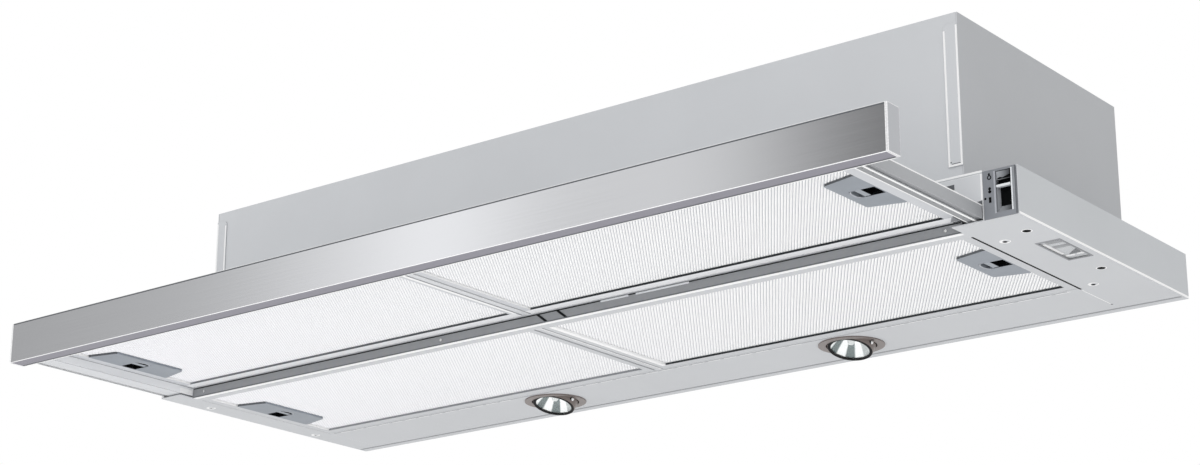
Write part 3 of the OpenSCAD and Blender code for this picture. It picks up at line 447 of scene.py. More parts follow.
def swept(path, profile, normal, closed=False):
    # a profile of (side, height) pairs carried along a path: side lies across the path and height along the
    # normal, and each corner is mitred between its two stretches
    path, profile = np.asarray(path, dtype=float), np.asarray(profile, dtype=float)
    normal = np.asarray(normal, dtype=float)
    ahead = np.roll(path, -1, 0) - path
    if not closed:
        ahead[-1] = ahead[-2]
    ahead = unit(ahead)
    behind = np.roll(ahead, 1, 0)
    if not closed:
        behind[0] = ahead[0]
    across = np.cross(ahead, normal)
    mitre = unit(across + np.cross(behind, normal))
    mitre /= np.clip((mitre * across).sum(-1, keepdims=True), 0.4, 1)
    points = (path[:, None] + mitre[:, None] * profile[None, :, :1] + normal * profile[None, :, 1:]).reshape(-1, 3)
    faces = gridFaces(len(path), len(profile), closed, True).tolist()
    if not closed:
        last = (len(path) - 1) * len(profile)
        faces += [list(range(len(profile))), list(range(last, last + len(profile)))[::-1]]
    return points, faces


def strip(width, height, crown=0.3):
    # section of a thin raised line, its top narrower than its foot
    return [(-width / 2, 0), (width / 2, 0), (width / 2 * (1 - crown), height), (-width / 2 * (1 - crown), height)]


def laid(shape, origin, right, up):
    # a shape drawn in a plane, stood up on it: its x along right, its y along up, its height along their cross
    points, faces = shape
    right, up = np.asarray(right, dtype=float), np.asarray(up, dtype=float)
    axes = np.stack([right, up, np.cross(right, up)])
    return np.asarray(points) @ axes + np.asarray(origin, dtype=float), faces


def merged(node, shift=None):
    # a CAD node's mesh with its loose triangles joined and its flat faces whole again; a shift is a depth and the
    # depth that its points move to
    work = bmesh.new()
    work.from_mesh(nodes[node].data)
    bmesh.ops.remove_doubles(work, verts=work.verts, dist=2e-6)
    for point in work.verts:
        if shift and abs(point.co.y * 1000 - shift[0]) < 0.3:
            point.co.y = shift[1] / 1000
    bmesh.ops.dissolve_limit(work, angle_limit=math.radians(0.6), verts=work.verts, edges=work.edges)
    return work


sharpLook = {"bevelAngle": math.radians(40), "smoothAngle": 30, "cornerSteps": 5}


def eased(node, width, finish, edge=None, steps=2, paintFaces=None, corners=None, cuts=(), shift=None):
    # the CAD node again with its sharp edges rounded, the rounded edges in their own finish, and upright corners
    # that "corners" picks (a test of the middle and the radius) rounded first. Each cut, an axis and a place on
    # it, splits the faces there, so that paintFaces can tell the two sides apart.
    work = merged(node, shift)
    for axis, place in cuts:
        across = [1.0 if k == axis else 0.0 for k in range(3)]
        bmesh.ops.bisect_plane(work, geom=work.verts[:] + work.edges[:] + work.faces[:],
                               plane_co=[v * place / 1000 for v in across], plane_no=across)
    if corners:
        test, radius = corners
        picked = [e for e in work.edges if abs((e.verts[0].co - e.verts[1].co).normalized().z) > 0.99
                  and test((e.verts[0].co + e.verts[1].co) * 500)]
        bmesh.ops.bevel(work, geom=picked, offset=radius, segments=sharpLook["cornerSteps"], profile=0.5,
                        affect="EDGES")
    if paintFaces:
        for face in work.faces:
            face.material_index = paintFaces(face.calc_center_median() * 1000, face.normal)
    mesh = bpy.data.meshes.new(node + "_eased")
    work.to_mesh(mesh)
    work.free()
    every = ([finish] if isinstance(finish, str) else list(finish)) + ([edge] if edge else [])
    piece = settle(node + "_eased", mesh, bodyOf[node], every, sharpLook["smoothAngle"])
    bevel = piece.modifiers.new("ease", "BEVEL")
    bevel.width = width
    bevel.segments = steps
    bevel.limit_method = "ANGLE"
    bevel.angle_limit = sharpLook["bevelAngle"]
    bevel.harden_normals = True
    if edge:
        bevel.material = len(every) - 1
    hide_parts(node)
    return piece


def dress(node, finish):
    # a CAD node that keeps its mesh and gets its finish
    mesh = nodes[node].data
    mesh.materials.clear()
    mesh.materials.append(finishes[finish].material)


def screwHead(x, y, z, radius, height, down=True):
    # a pan head on a low foot: its profile is a quarter ellipse
    t = np.linspace(0, math.pi / 2, 6)
    profile = [(radius * math.cos(a), height * (0.25 + 0.75 * math.sin(a))) for a in t]
    points, faces = lathe([(0, 0), (radius, 0)] + profile, (0, 0, 0), 20)
    return points * (1, 1, -1 if down else 1) + (x, y, z), faces[:, ::-1] if down else faces


# the planes that trim is drawn on: the drawing's x and y on a face that looks this way
outward = {"front": ((1, 0, 0), (0, 0, 1)), "back": ((-1, 0, 0), (0, 0, 1)), "up": ((1, 0, 0), (0, 1, 0)),
           "down": ((1, 0, 0), (0, -1, 0)), "right": ((0, 1, 0), (0, 0, 1))}


def patch(x0, y0, x1, y1, rise=0.12, sink=-0.05, radius=0.0, ease=0.0):
    # a thin raised patch: an oblong from just under its surface to a little above it
    return slab(oblong(x0, y0, x1, y1, radius), sink, rise, ease)


def patchBelow(x0, y0, x1, y1, rise=0.12, sink=-0.05, radius=0.0, ease=0.0):
    # the same on an underside, where the drawing's y runs against the depth
    return patch(x0, -y1, x1, -y0, rise, sink, radius, ease)


def spot(x, y, radius, steps=16, rise=0.12, sink=-0.05):
    # a thin raised disc
    return slab(circle(radius, steps, (x, y)), sink, rise)


def addTrim(name, shapes, facing, place, body, slotName, finish, smooth=None):
    # shapes drawn on a face that looks one way, as one piece; the place is the drawing's origin
    return addPiece(name, laid(together(*shapes), place, *outward[facing]), body, finish, smooth)


print("finishes ready")

# casing and lower body: folds are radii in metres, all other sizes are millimetres

casingLow, casingHigh = extent("casing_shell")
baseLow, baseHigh = extent("base_frame")
frontY, floorZ = baseLow[1], baseLow[2]
bodyLook = {"casingFold": 0.0007, "sideFold": 0.00035, "baseFold": 0.0011, "wallFold": 0.0003,
            "plateFold": 0.00025, "dividerFold": 0.0006, "crossbarFold": 0.0005, "sideHem": 2.0}
flangeLook = {"foot": 13.7, "head": 8.7, "inset": 1.0, "tops": (5, 2), "width": 1.7, "height": 0.3,
              "dot": 0.55, "dotPlace": (1.5, 3.6), "mark": (2.2, 2.0, 1.2, 2.5)}


def sideFace(centre, normal):
    # 0 is the flange on the casing's front, 1 the side itself, in a darker copy of the casing paint: painted shade
    return 0 if normal.y < -0.5 else 1


def baseFace(centre, normal):
    # 1 is the pale hem at the foot of the right side, a painted highlight
    onSide = normal.x > 0.5 and centre.x > baseHigh[0] - 1
    return 1 if onSide and centre.z < floorZ + bodyLook["sideHem"] else 0


def lowerFace(centre, normal):
    return 1 if normal.z < -0.5 else 0


def flangeTrim(side):
    # bright folded hem round the flange, a painted highlight: a flat line carried down one side, across the foot
    # and up the other, with a dot and a fine dark line in its foot
    sign = 1 if side == "right" else -1
    low, high = extent("casing_side_" + side)
    inner, outer = (low[0], high[0]) if side == "right" else (high[0], low[0])
    inner, outer = inner + sign * flangeLook["inset"], outer - sign * flangeLook["inset"]
    foot, top = flangeLook["foot"], casingHigh[2] - flangeLook["head"]
    corners = ((inner, top - flangeLook["tops"][0]), (inner, foot + flangeLook["inset"]),
               (outer, foot + flangeLook["inset"]), (outer, top - flangeLook["tops"][1]))
    path = [(x, low[1], z) for x, z in corners][::sign]
    hem = swept(path, strip(flangeLook["width"], flangeLook["height"]), (0, -1, 0))
    addPiece("flange_hem_" + side, hem, "hood", "edge")
    aside, above = flangeLook["dotPlace"]
    left, markFoot, right, markTop = flangeLook["mark"]
    marks = [spot(inner + sign * aside, foot + above, flangeLook["dot"], 12),
             patch(min(inner, outer) + left, foot + markFoot, max(inner, outer) - right, foot + markTop, 0.1)]
    addTrim("flange_foot_" + side, marks, "front", (0, low[1], 0), "hood", "casing", "shade")


eased("casing_shell", bodyLook["casingFold"], "casing", "casing", 3)
for side in sides:
    eased("casing_side_" + side, bodyLook["sideFold"], ("casing", "casingSide"), paintFaces=sideFace)
    flangeTrim(side)
# the body's rounded edges take the lighter front wall paint, a painted highlight
eased("base_frame", bodyLook["baseFold"], ("body", "edge"), "front", 3, paintFaces=baseFace,
      cuts=((2, floorZ + bodyLook["sideHem"]),))
eased("base_front", bodyLook["wallFold"], "front", "edge")
for node in ("end_plate_right", "end_plate_left", "rear_strip"):
    eased(node, bodyLook["plateFold"], "under", "edge")
eased("rear_divider", bodyLook["dividerFold"], "under", "edge")
eased("filter_crossbar", bodyLook["crossbarFold"], ("web", "under"), "edge", paintFaces=lowerFace)
dress("crossbar_rivets", "screw")
for side in sides:
    dress("slide_channel_" + side, "channel")

# front wall: a bright fold along its top and down the right end of its opening, both painted highlights, and the
# opening has two dark corners in the shade paint;
# x across, and height from the body's top in "topFold" and from its underside in the others
wallLook = {"topFold": (baseLow[0] + 1, -0.3, 419.6, 1.5), "topBehind": 1.0,
            "endFold": (418.5, 16.4, 420.1, 36.2),
            "corners": (((389.6, 32.4), (396.7, 28.4), (396.7, 32.6)),
                        ((412.0, 15.3), (419.2, 13.1), (419.2, 15.8)))}
addTrim("front_wall_top_fold", [patch(*wallLook["topFold"], 0.9, -0.1, 0.3, 0.15)], "front",
        (0, frontY + wallLook["topBehind"], 0), "hood", "body", "edge", 40)
addTrim("front_wall_corners", [slab(corners, -0.05, 0.15) for corners in wallLook["corners"]], "front",
        (0, frontY, floorZ), "hood", "body", "shade")
addTrim("front_wall_fold", [patch(*wallLook["endFold"], 0.15)], "front", (0, frontY, floorZ),
        "hood", "body", "edge")

# crossbar: its front in darker paint than its underside, painted shade; a pale hem under its front, a painted
# highlight, a dark line in its fold and along its top, painted shadow, two brackets and two pale tabs, partly
# painted highlight
barLow, barHigh = extent("filter_crossbar")
barLook = {"end": 1.0, "hem": (0.1, 4.2), "fold": (0.5, 0.6), "topLine": (0.8, 0.1), "brackets": (-12.0, 9.0),
           "lean": 9.0, "bracketWidth": 3.2, "bracketTop": 0.6, "bracketFoot": 1.2,
           "tabs": ((56.0, 84.5), (92.0, 145.0)), "tabFoot": 1.7, "tabTop": 0.2}
barLeft, barRight = barLow[0] + barLook["end"], barHigh[0] - barLook["end"]


def bracketLine(x):
    # a slanting bar across the web, its foot to the right of its head
    top, foot = barHigh[2] - barLook["bracketTop"], barLow[2] + barLook["bracketFoot"]
    lean, width = barLook["lean"], barLook["bracketWidth"]
    return slab([(x, top), (x + lean, foot), (x + lean + width, foot), (x + width, top)], -0.1, 0.2)


hemFrom, hemTo = (barLow[1] + v for v in barLook["hem"])
addTrim("crossbar_hem", [patchBelow(barLeft, hemFrom, barRight, hemTo)], "down", (0, 0, barLow[2]),
        "hood", "crossbar", "edge")
foldFoot = barLow[2] + barLook["fold"][0]
onWeb = ("front", (0, barLow[1], 0), "hood", "crossbar")
addTrim("crossbar_fold", [patch(barLeft, foldFoot, barRight, foldFoot + barLook["fold"][1], 0.1)], *onWeb,
        "shade")
lines = [bracketLine(x) for x in barLook["brackets"]]
lineFoot, lineTop = (barHigh[2] - v for v in barLook["topLine"])
lines.append(patch(barLeft, lineFoot, barRight, lineTop, 0.15, -0.1))
addTrim("crossbar_bracket_lines", lines, *onWeb, "well")
tabs = [patch(x0, barHigh[2] - barLook["tabFoot"], x1, barHigh[2] - barLook["tabTop"], 0.4, -0.1, 0.4, 0.1)
        for x0, x1 in barLook["tabs"]]
addTrim("crossbar_tabs", tabs, *onWeb, "ledge")

# underside: a dashed seam in white, a painted highlight, and a fine line beside the rear filters, a folded line
# along the rear edge, and the seam of the right end plate, bold beside the filter, then faint and white as a
# painted highlight, with a dot at its end
stripLow, stripHigh = extent("rear_strip")
plateLow, plateHigh = extent("end_plate_right")
lampX = [sum(corner[0] for corner in extent("lamp_trim_" + side)) / 2 for side in sides]
dashLook = {"length": 13.0, "gap": 4.0, "width": 0.8, "behind": 4.2, "ends": (12, 20), "middle": 6,
            "lampRoom": 36}
lineLook = {"ends": (4, 12), "from": 1.7, "to": 2.9}
rearLook = {"end": 2, "from": 9.9, "to": 7.4}
seamLook = {"from": -70.0, "until": 101.0, "left": 0.3, "width": 1.7, "faintWidth": 0.7, "faintGap": 3,
            "faintUntil": 152.0, "dot": 0.9, "dotAside": 0.2, "dotGap": 2.5}
onFloor = ("down", (0, 0, floorZ), "hood", "body")
starts = np.arange(stripLow[0] + dashLook["ends"][0], stripHigh[0] - dashLook["ends"][1],
                   dashLook["length"] + dashLook["gap"])
dashY = stripLow[1] + dashLook["behind"]
dashes = [patchBelow(x, dashY - dashLook["width"], x + dashLook["length"], dashY) for x in starts
          if all(abs(x + dashLook["middle"] - lamp) >= dashLook["lampRoom"] for lamp in lampX)]
addTrim("rear_strip_seam", dashes, *onFloor, "edge")
seamX = plateLow[0] - seamLook["left"]
seam = patchBelow(seamX, seamLook["from"], seamX + seamLook["width"], seamLook["until"])
addTrim("end_plate_seam", [seam], *onFloor, "print")
faint = patchBelow(seamX, seamLook["until"] + seamLook["faintGap"], seamX + seamLook["faintWidth"],
                   seamLook["faintUntil"])
addTrim("end_plate_seam_faint", [faint], *onFloor, "edge")
dot = spot(plateLow[0] + seamLook["dotAside"], -seamLook["faintUntil"] - seamLook["dotGap"], seamLook["dot"], 14)
addTrim("end_plate_dot", [dot], *onFloor, "shade")
rearLine = patchBelow(baseLow[0] + rearLook["end"], plateHigh[1] - rearLook["from"],
                      baseHigh[0] - rearLook["end"], plateHigh[1] - rearLook["to"])
addTrim("rear_fold_line", [rearLine], *onFloor, "midGrey")
fineLine = patchBelow(stripLow[0] + lineLook["ends"][0], stripLow[1] + lineLook["from"],
                      stripHigh[0] - lineLook["ends"][1], stripLow[1] + lineLook["to"], 0.1)
addTrim("rear_strip_line", [fineLine], *onFloor, "line")

# screws of the end plates: flush heads with a dark recess, painted shade, each in a bright dimple, a painted
# highlight, that is wider to the left
screwLook = {"inset": 2.4, "radius": 2.2, "height": 0.35, "dimple": 4.4, "rim": 1.6, "shift": (1.2, 0.3),
             "rise": 0.16, "crown": 0.97, "turns": 32, "recess": {"right": 1.8, "left": 0.7}}
screwLow, screwHigh = extent("plate_screws")


def screwDimple(x, y):
    # an uneven ring: its outer circle is centred on the screw and its inner one is moved to the right
    turns, rise = screwLook["turns"], screwLook["rise"]
    outer = circle(screwLook["dimple"], turns)
    inner = circle(screwLook["dimple"] - screwLook["rim"], turns, screwLook["shift"])
    rings = ((outer, 0.0), (outer * screwLook["crown"], rise), (inner, rise), (inner, 0.0))
    points = np.concatenate([np.column_stack([ring, np.full(turns, height)]) for ring, height in rings])
    return laid((points, gridFaces(4, turns, True, True)[:, ::-1].tolist()), (x, y, floorZ), *outward["down"])


inset = screwLook["inset"]
places = [(x, y) for x in (screwLow[0] + inset, screwHigh[0] - inset)
          for y in (screwLow[1] + inset, screwHigh[1] - inset)]
heads = [screwHead(x, y, floorZ, screwLook["radius"], screwLook["height"]) for x, y in places]
recesses = [laid(spot(0, 0, screwLook["recess"]["right" if x > 0 else "left"], 16, 0.1, 0),
                 (x, y, floorZ - screwLook["height"]), *outward["down"]) for x, y in places]
dimples = [screwDimple(x, y) for x, y in places]
screws = addPiece("end_plate_screws", together(*heads), "hood", "under", 40, True)
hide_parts("plate_screws")
addPiece("end_plate_screw_recesses", together(*recesses), "hood", "print")
addPiece("end_plate_screw_dimples", together(*dimples), "hood", "edge", 40)

# screwdriver holes: a fine rim in white, a painted highlight, and the dark of the hole just inside it, a black
# disc as painted shade
accessLook = {"x": 432.9, "y": 58.75, "radius": 3.3, "rim": 0.9, "inner": (0.3, -0.05), "crest": -0.1}
rims, wells = [], []
for y in (-accessLook["y"], accessLook["y"]):
    radius, rim = accessLook["radius"], accessLook["rim"]
    top, foot = accessLook["inner"]
    profile = [(radius, top), (radius + rim, 0), (radius + rim / 2, accessLook["crest"]), (radius, foot)]
    points, faces = lathe(profile, (accessLook["x"], y, floorZ), 32, True)
    rims.append((points, faces[:, ::-1].tolist()))
    wells.append(laid(spot(0, 0, radius, 24, 0.08, -0.6), (accessLook["x"], y, floorZ), *outward["down"]))
addPiece("access_hole_rims", together(*rims), "hood", "edge", 40)
addPiece("access_hole_shadows", together(*wells), "hood", "print")

# window: a rimmed clear cover, and behind it a back with ribs, white blocks as painted highlights, and a cable
# clip in the shade paint. Places of what lies behind it are from the window's left front corner, and depths are
# above the underside.
windowLook = {"corner": 1.2, "thick": 1.2, "ease": 0.25, "rim": 0.9, "rimTop": 0.7, "rimRise": 0.35,
              "paneDepth": 1.0, "backDepth": 1.6, "blockDepth": 1.1, "ribDepth": 1.15, "backInset": 0.5,
              "plate": 0.5, "plateEase": 0.1, "clipCorner": 1.0, "blockCorner": 0.8, "ribThick": 0.4,
              "clip": ((6.5, 42), (18.5, 31), (17.0, 41)),
              "blocks": ((2.5, 43.5, 10, 46), (1.6, 9, 4.2, 39), (12.0, 43.0, 18.5, 45)),
              "ribs": (11, 23), "ribWidth": 5.0, "ribEnds": (5, 3)}
windowLow, windowHigh = extent("window_cover")
x0, x1, y0, y1 = windowLow[0], windowHigh[0], windowLow[1], windowHigh[1]


def behindWindow(name, shapes, depth, finish):
    # shapes at one of the depths behind the window's face
    return addTrim(name, shapes, "down", (0, 0, floorZ + windowLook[depth]), "hood", "window", finish)


pane = behindWindow("window_pane", [patchBelow(x0, y0, x1, y1, windowLook["thick"], 0, windowLook["corner"],
                                               windowLook["ease"])], "paneDepth", "window")
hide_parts("window_cover")
rim, rimTop = windowLook["rim"], windowLook["rimTop"]
corners = [(x0 + rim, y0 + rim, floorZ), (x0 + rim, y1 - rim, floorZ), (x1 - rim, y1 - rim, floorZ),
           (x1 - rim, y0 + rim, floorZ)]
section = [(-rim, 0), (rim, 0), (rimTop, windowLook["rimRise"]), (-rimTop, windowLook["rimRise"])]
addPiece("window_rim", swept(corners, section, (0, 0, -1), True), "hood", "midGrey")
inset = windowLook["backInset"]
plate, plateEase = windowLook["plate"], windowLook["plateEase"]
back = patchBelow(x0 + inset, y0 + inset, x1 - inset, y1 - inset, plate, 0)
behindWindow("window_back", [back], "backDepth", "under")
clip = slab(rounded([(x0 + x, -(y0 + y)) for x, y in windowLook["clip"]], windowLook["clipCorner"]), 0, plate,
            plateEase)
behindWindow("window_clip", [clip], "blockDepth", "shade")
blocks = [patchBelow(x0 + a, y0 + b, x0 + c, y0 + d, plate, 0, windowLook["blockCorner"], plateEase)
          for a, b, c, d in windowLook["blocks"]]
behindWindow("window_block", blocks, "blockDepth", "edge")
ribs = [patchBelow(x0 + windowLook["ribEnds"][0], y0 + y - windowLook["ribWidth"],
                   x1 - windowLook["ribEnds"][1], y0 + y, windowLook["ribThick"], 0) for y in windowLook["ribs"]]
behindWindow("window_ribs", ribs, "ribDepth", "midGrey")
print("casing and lower body ready")

# front panel: brushed face with a painted shadow line along its top, its underside a darker violet copy of the
# steel (painted shade and reflection), with a painted highlight hem at its rear

panelLow, panelHigh = extent("front_panel")
panelLook = {"fold": 0.0008, "capFold": 0.0007, "line": 1.7, "end": 1, "hem": (0.2, 1.1), "gap": (1.4, 1.6)}
panelLineZ = panelHigh[2] - panelLook["line"]


def panelFace(centre, normal):
    # 1 is the underside, in the panel's painted shade, 2 the painted shadow line along the top of the front
    if normal.z < -0.5:
        return 1
    return 2 if normal.y < -0.5 and centre.z > panelLineZ and centre.y < panelLow[1] + 1 else 0


def panelTrim(name, fromRear, width, rise, finish):
    # a line along the panel's underside, this far from its rear edge
    far = panelHigh[1] - fromRear
    line = patchBelow(panelLow[0] + panelLook["end"], far - width, panelHigh[0] - panelLook["end"], far, rise)
    addTrim(name, [line], "down", (0, 0, panelLow[2]), "drawer", "panel", finish)


eased("front_panel", panelLook["fold"], ("panel", "panelUnder", "shade"), "panelEdge", 3, paintFaces=panelFace,
      cuts=((2, panelLineZ),))
for side in sides:
    eased("panel_cap_" + side, panelLook["capFold"], ("cap", "panelUnder"), "panelEdge", paintFaces=lowerFace)
panelTrim("panel_hem", *panelLook["hem"], 0.12, "edge")
panelTrim("panel_hem_shadow", *panelLook["gap"], 0.1, "shade")

# drawer: bars, cover and slides. The right slide's outer face has a pale upper band, a painted highlight, and its
# underside a dark groove between bright folds, painted highlights.
slideLow, slideHigh = extent("drawer_slide_right")
slideLook = {"fold": 0.0004, "leftFold": 0.00035, "barFold": 0.00025, "coverFold": 0.0002, "band": -25.6,
             "face": 418.0, "ledge": -34, "groove": (413.7, 417.7), "grooveDepth": 0.9,
             "folds": ((411.0, 412.9), (405.0, 406.0)), "end": 2.0}


def railFace(centre, normal):
    # 3 is the pale band, a painted highlight, 0 the upright faces, 2 the lowest underside, 1 the ledges
    if normal.x > 0.5 and centre.x > slideLook["face"] and centre.z > slideLook["band"]:
        return 3
    return 0 if abs(normal.z) < 0.5 else (2 if centre.z < slideLook["ledge"] else 1)


# the left slide: its upright faces (0) in the near-white paint, painted highlight, its flat faces (1) in the ledge
# paint
def leftRailFace(centre, normal):
    return 1 if abs(normal.z) > 0.5 else 0


def rearBarFace(centre, normal):
    return 1 if normal.y > 0.5 and normal.z >= -0.5 else 0


eased("drawer_slide_right", slideLook["fold"], ("rail", "ledge", "railUnder", "edge"), "edge",
      paintFaces=railFace, cuts=((2, slideLook["band"]),))
eased("drawer_slide_left", slideLook["leftFold"], ("pale", "ledge", "line"), "line", paintFaces=leftRailFace)
for node in ("drawer_front_bar", "drawer_divider"):
    eased(node, slideLook["barFold"], "ledge", "edge")
eased("drawer_rear_bar", slideLook["barFold"], ("border", "shade"), "edge", paintFaces=rearBarFace)
eased("drawer_cover", slideLook["coverFold"], "body", "body")
slideFrom, slideTo = slideLow[1] + slideLook["end"], slideHigh[1] - slideLook["end"]
grooveLeft, grooveRight = slideLook["groove"]
addTrim("slide_groove_floor", [patchBelow(grooveLeft, slideFrom, grooveRight, slideTo, 0, -0.5)], "down",
        (0, 0, slideLow[2] + slideLook["grooveDepth"]), "drawer", "slides", "railUnder")
addTrim("slide_folds", [patchBelow(a, slideFrom, b, slideTo) for a, b in slideLook["folds"]], "down",
        (0, 0, slideLow[2]), "drawer", "slides", "edge")

# drawer's rear ends: on the right a grey pocket with its dark outline, painted shade of a recess, drawn with the
# depth turned round, and on the left the slide's bright inner face, a painted highlight, in depth and height
endLook = {"height": -28.2,
           "pocket": ((386, 80), (404.6, 80), (404.6, 97), (393.1, 97), (393.1, 84.6), (386, 84.6)),
           "outline": ((393.1, 84.7, 394.2, 97), (386, 83.4, 394.2, 84.6)),
           "leftX": -423.9, "leftFace": (-99.0, -34.9, -84.0, -30.4)}
atEnd = ("down", (0, 0, endLook["height"]), "drawer", "slides")
addTrim("drawer_end_pocket", [slab(endLook["pocket"], -0.05, 0.12)], *atEnd, "line")
addTrim("drawer_end_outline", [patch(*box, 0.2, 0.05) for box in endLook["outline"]], *atEnd, "shade")
addTrim("slide_end_left", [patch(*endLook["leftFace"])], "right", (endLook["leftX"], 0, 0),
        "drawer", "slides", "edge")
print("drawer ready")

# filters


def expandedSheet(low, high, plate, pitch):
    # a pack of expanded mesh as one closed sheet. Crossings stand where a + b is even on a lattice of half
    # pitches; each odd point is the middle of a diamond, whose four strand faces fall inwards to a flat floor.
    # Diamonds under the handle plate, its outline drawn in by the tuck, are left out.
    stepX = pitch / 2
    stepY = stepX / clothLook["slant"]
    a = np.arange(math.ceil(low[0] / stepX) + 1, math.floor(high[0] / stepX))
    b = np.arange(math.ceil(low[1] / stepY) + 1, math.floor(high[1] / stepY))
    a, b = (v.ravel() for v in np.meshgrid(a, b, indexing="ij"))
    x, y = a * stepX, b * stepY
    outer, inner, middle, half, taper = plate
    along = (x - outer) / (inner - outer)  # 0 at the plate's outer end, 1 at its inner end
    under = (along > -2) & (along < 1 - clothLook["tuck"] / clothLook["plateLength"])
    under &= np.abs(y - middle) < half - taper * np.clip(along, 0, 1) - clothLook["tuck"]
    keep = ((a + b) % 2 == 1) & ~under
    a, b = a[keep], b[keep]
    count = len(a)
    cornerA = np.stack([a + 1, a, a - 1, a], axis=1)
    cornerB = np.stack([b, b + 1, b, b - 1], axis=1)
    span, shift = 8192, 4096  # one number for each crossing, so that diamonds share their corners
    keys, ids = np.unique((cornerA + shift) * span + cornerB + shift, return_inverse=True)
    ids = ids.reshape(count, 4)
    ridge = np.stack([(keys // span - shift) * stepX, (keys % span - shift) * stepY,
                      np.full(len(keys), low[2])], axis=1)
    middles = np.stack([a * stepX, b * stepY, np.full(count, low[2])], axis=1)[:, None]
    floors = middles + clothLook["opening"] * (ridge[ids] - middles) + (0, 0, clothLook["depth"])
    top = ridge + (0, 0, high[2] - low[2])
    points = np.concatenate([ridge, floors.reshape(-1, 3), top])
    inside = len(keys) + np.arange(count * 4).reshape(count, 4)
    after = np.roll(np.arange(4), -1)
    strandFaces = np.stack([ids, inside, inside[:, after], ids[:, after]], axis=2).reshape(-1, 4)
    lift = len(keys) + count * 4
    # walls stand on the edges that only one diamond has
    rim = np.stack([ids, ids[:, after]], axis=2).reshape(-1, 2)
    mark = rim.min(1) * 10 ** 6 + rim.max(1)
    where, times = np.unique(mark, return_index=True, return_counts=True)[1:]
    border = rim[where[times == 1]]
    walls = np.stack([border[:, 0], border[:, 1], border[:, 1] + lift, border[:, 0] + lift], axis=1)
    return points, np.concatenate([strandFaces, inside[:, ::-1], ids + lift, walls])


frameLook = {"soften": 0.00025, "border": 9.8, "rearFrontBorder": 2.85, "meshBefore": {"rear": 1.4, "front": 0},
             "seamInset": 1.2, "seamHalf": 0.6, "end": 2, "rearFold": (0.9, 9.3), "whiteFrom": 3.2, "whiteTo": 9.4,
             "rearWhite": (7.0, 10.8), "frontWhite": (4.6, 1.4), "whiteSink": {"rear": -1.9, "front": -0.05},
             "corner": ((8.2, 0.1), (0.2, 0.1), (0.2, 9.8), (1.7, 9.8))}
handleLook = {"fold": 0.0004, "corner": 0.0022, "taper": 7.5, "hole": (0.6, 23.6, 8.5), "gap": 17.9,
              "cornerFrom": 20, "pocket": 2.05, "latchTop": 2.2, "rim": (18.8, 4.6, 8.3), "rimArc": (0.12, 0.88),
              "rimSteps": 15, "rimSection": (1.2, 0.22)}


def filterFrame(row, node):
    # rolled edge frame; 1 is the bright inner wall beside the mesh, a painted highlight, and 2 the inner wall that
    # faces the user, in the painted shade of the gap
    low, high = extent(node)
    middle = (low + high) / 2

    def frameFace(centre, normal):
        if normal.y < -0.5 and middle[1] < centre.y < high[1] - 2:
            return 2  # inner wall that faces the user
        return 1 if normal.x > 0.5 and centre.x < middle[0] else 0

    # the rear filters' front border is a narrow one, so the mesh starts close behind the crossbar
    narrowed = (low[1] + frameLook["border"], low[1] + frameLook["rearFrontBorder"]) if row == "rear" else None
    eased(node, frameLook["soften"], ("border" if row == "front" else "under", "edge", row + "Gap"),
          paintFaces=frameFace, shift=narrowed)


def filterMesh(row, side, node, handleNode):
    # raised diamonds in place of the mesh's plain block, with room for the handle plate
    low, high = extent(node)
    plateLow, plateHigh = extent(handleNode)
    outer, inner = (plateHigh[0], plateLow[0]) if side == "right" else (plateLow[0], plateHigh[0])
    middle, half = (plateLow[1] + plateHigh[1]) / 2, (plateHigh[1] - plateLow[1]) / 2
    shape = expandedSheet(low - (0, frameLook["meshBefore"][row], 0), high,
                          (outer, inner, middle, half, handleLook["taper"]), clothLook["pitches"][row])
    sheet = addPiece(node + "_diamonds", shape, bodyOf[node], row + "Mesh")
    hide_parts(node)


def filterHandle(side, node, latchNode):
    # handle plate with its finger hole and pocket, painted black for their shade, and the latch whose tab shows in
    # the hole
    sign = 1 if side == "right" else -1
    low, high = extent(node)
    outer, middle = high[0] if side == "right" else low[0], (low[1] + high[1]) / 2
    holeFrom, holeTo, holeHalf = handleLook["hole"]

    # 1: faces in the pocket and finger hole, black as painted shade; 2: those past the gap, in the latch's grey;
    #    3: walls that face the user, a painted shadow line
    def handleFace(centre, normal):
        inside = abs(centre.x - outer)
        inHole = holeFrom < inside < holeTo and abs(centre.y - middle) < holeHalf and abs(normal.z) < 0.5
        if centre.z > low[2] + handleLook["pocket"] or inHole:
            return 2 if inside > handleLook["gap"] else 1
        return 3 if normal.y < -0.5 else 0

    # 1: the latch's upper faces and those that face outward, black as painted shade
    def latchFace(centre, normal):
        return 1 if centre.z > low[2] + handleLook["latchTop"] or normal.x * sign > 0.5 else 0

    def plateCorner(centre):
        return abs(centre.y - middle) > handleLook["cornerFrom"]

    eased(node, handleLook["fold"], ("handle", "pocket", "latch", "shade"), "handle", 3, paintFaces=handleFace,
          corners=(plateCorner, handleLook["corner"]), cuts=((0, outer - sign * handleLook["gap"]),))
    eased(latchNode, handleLook["fold"], ("tab", "pocket"), None, 3, paintFaces=latchFace)


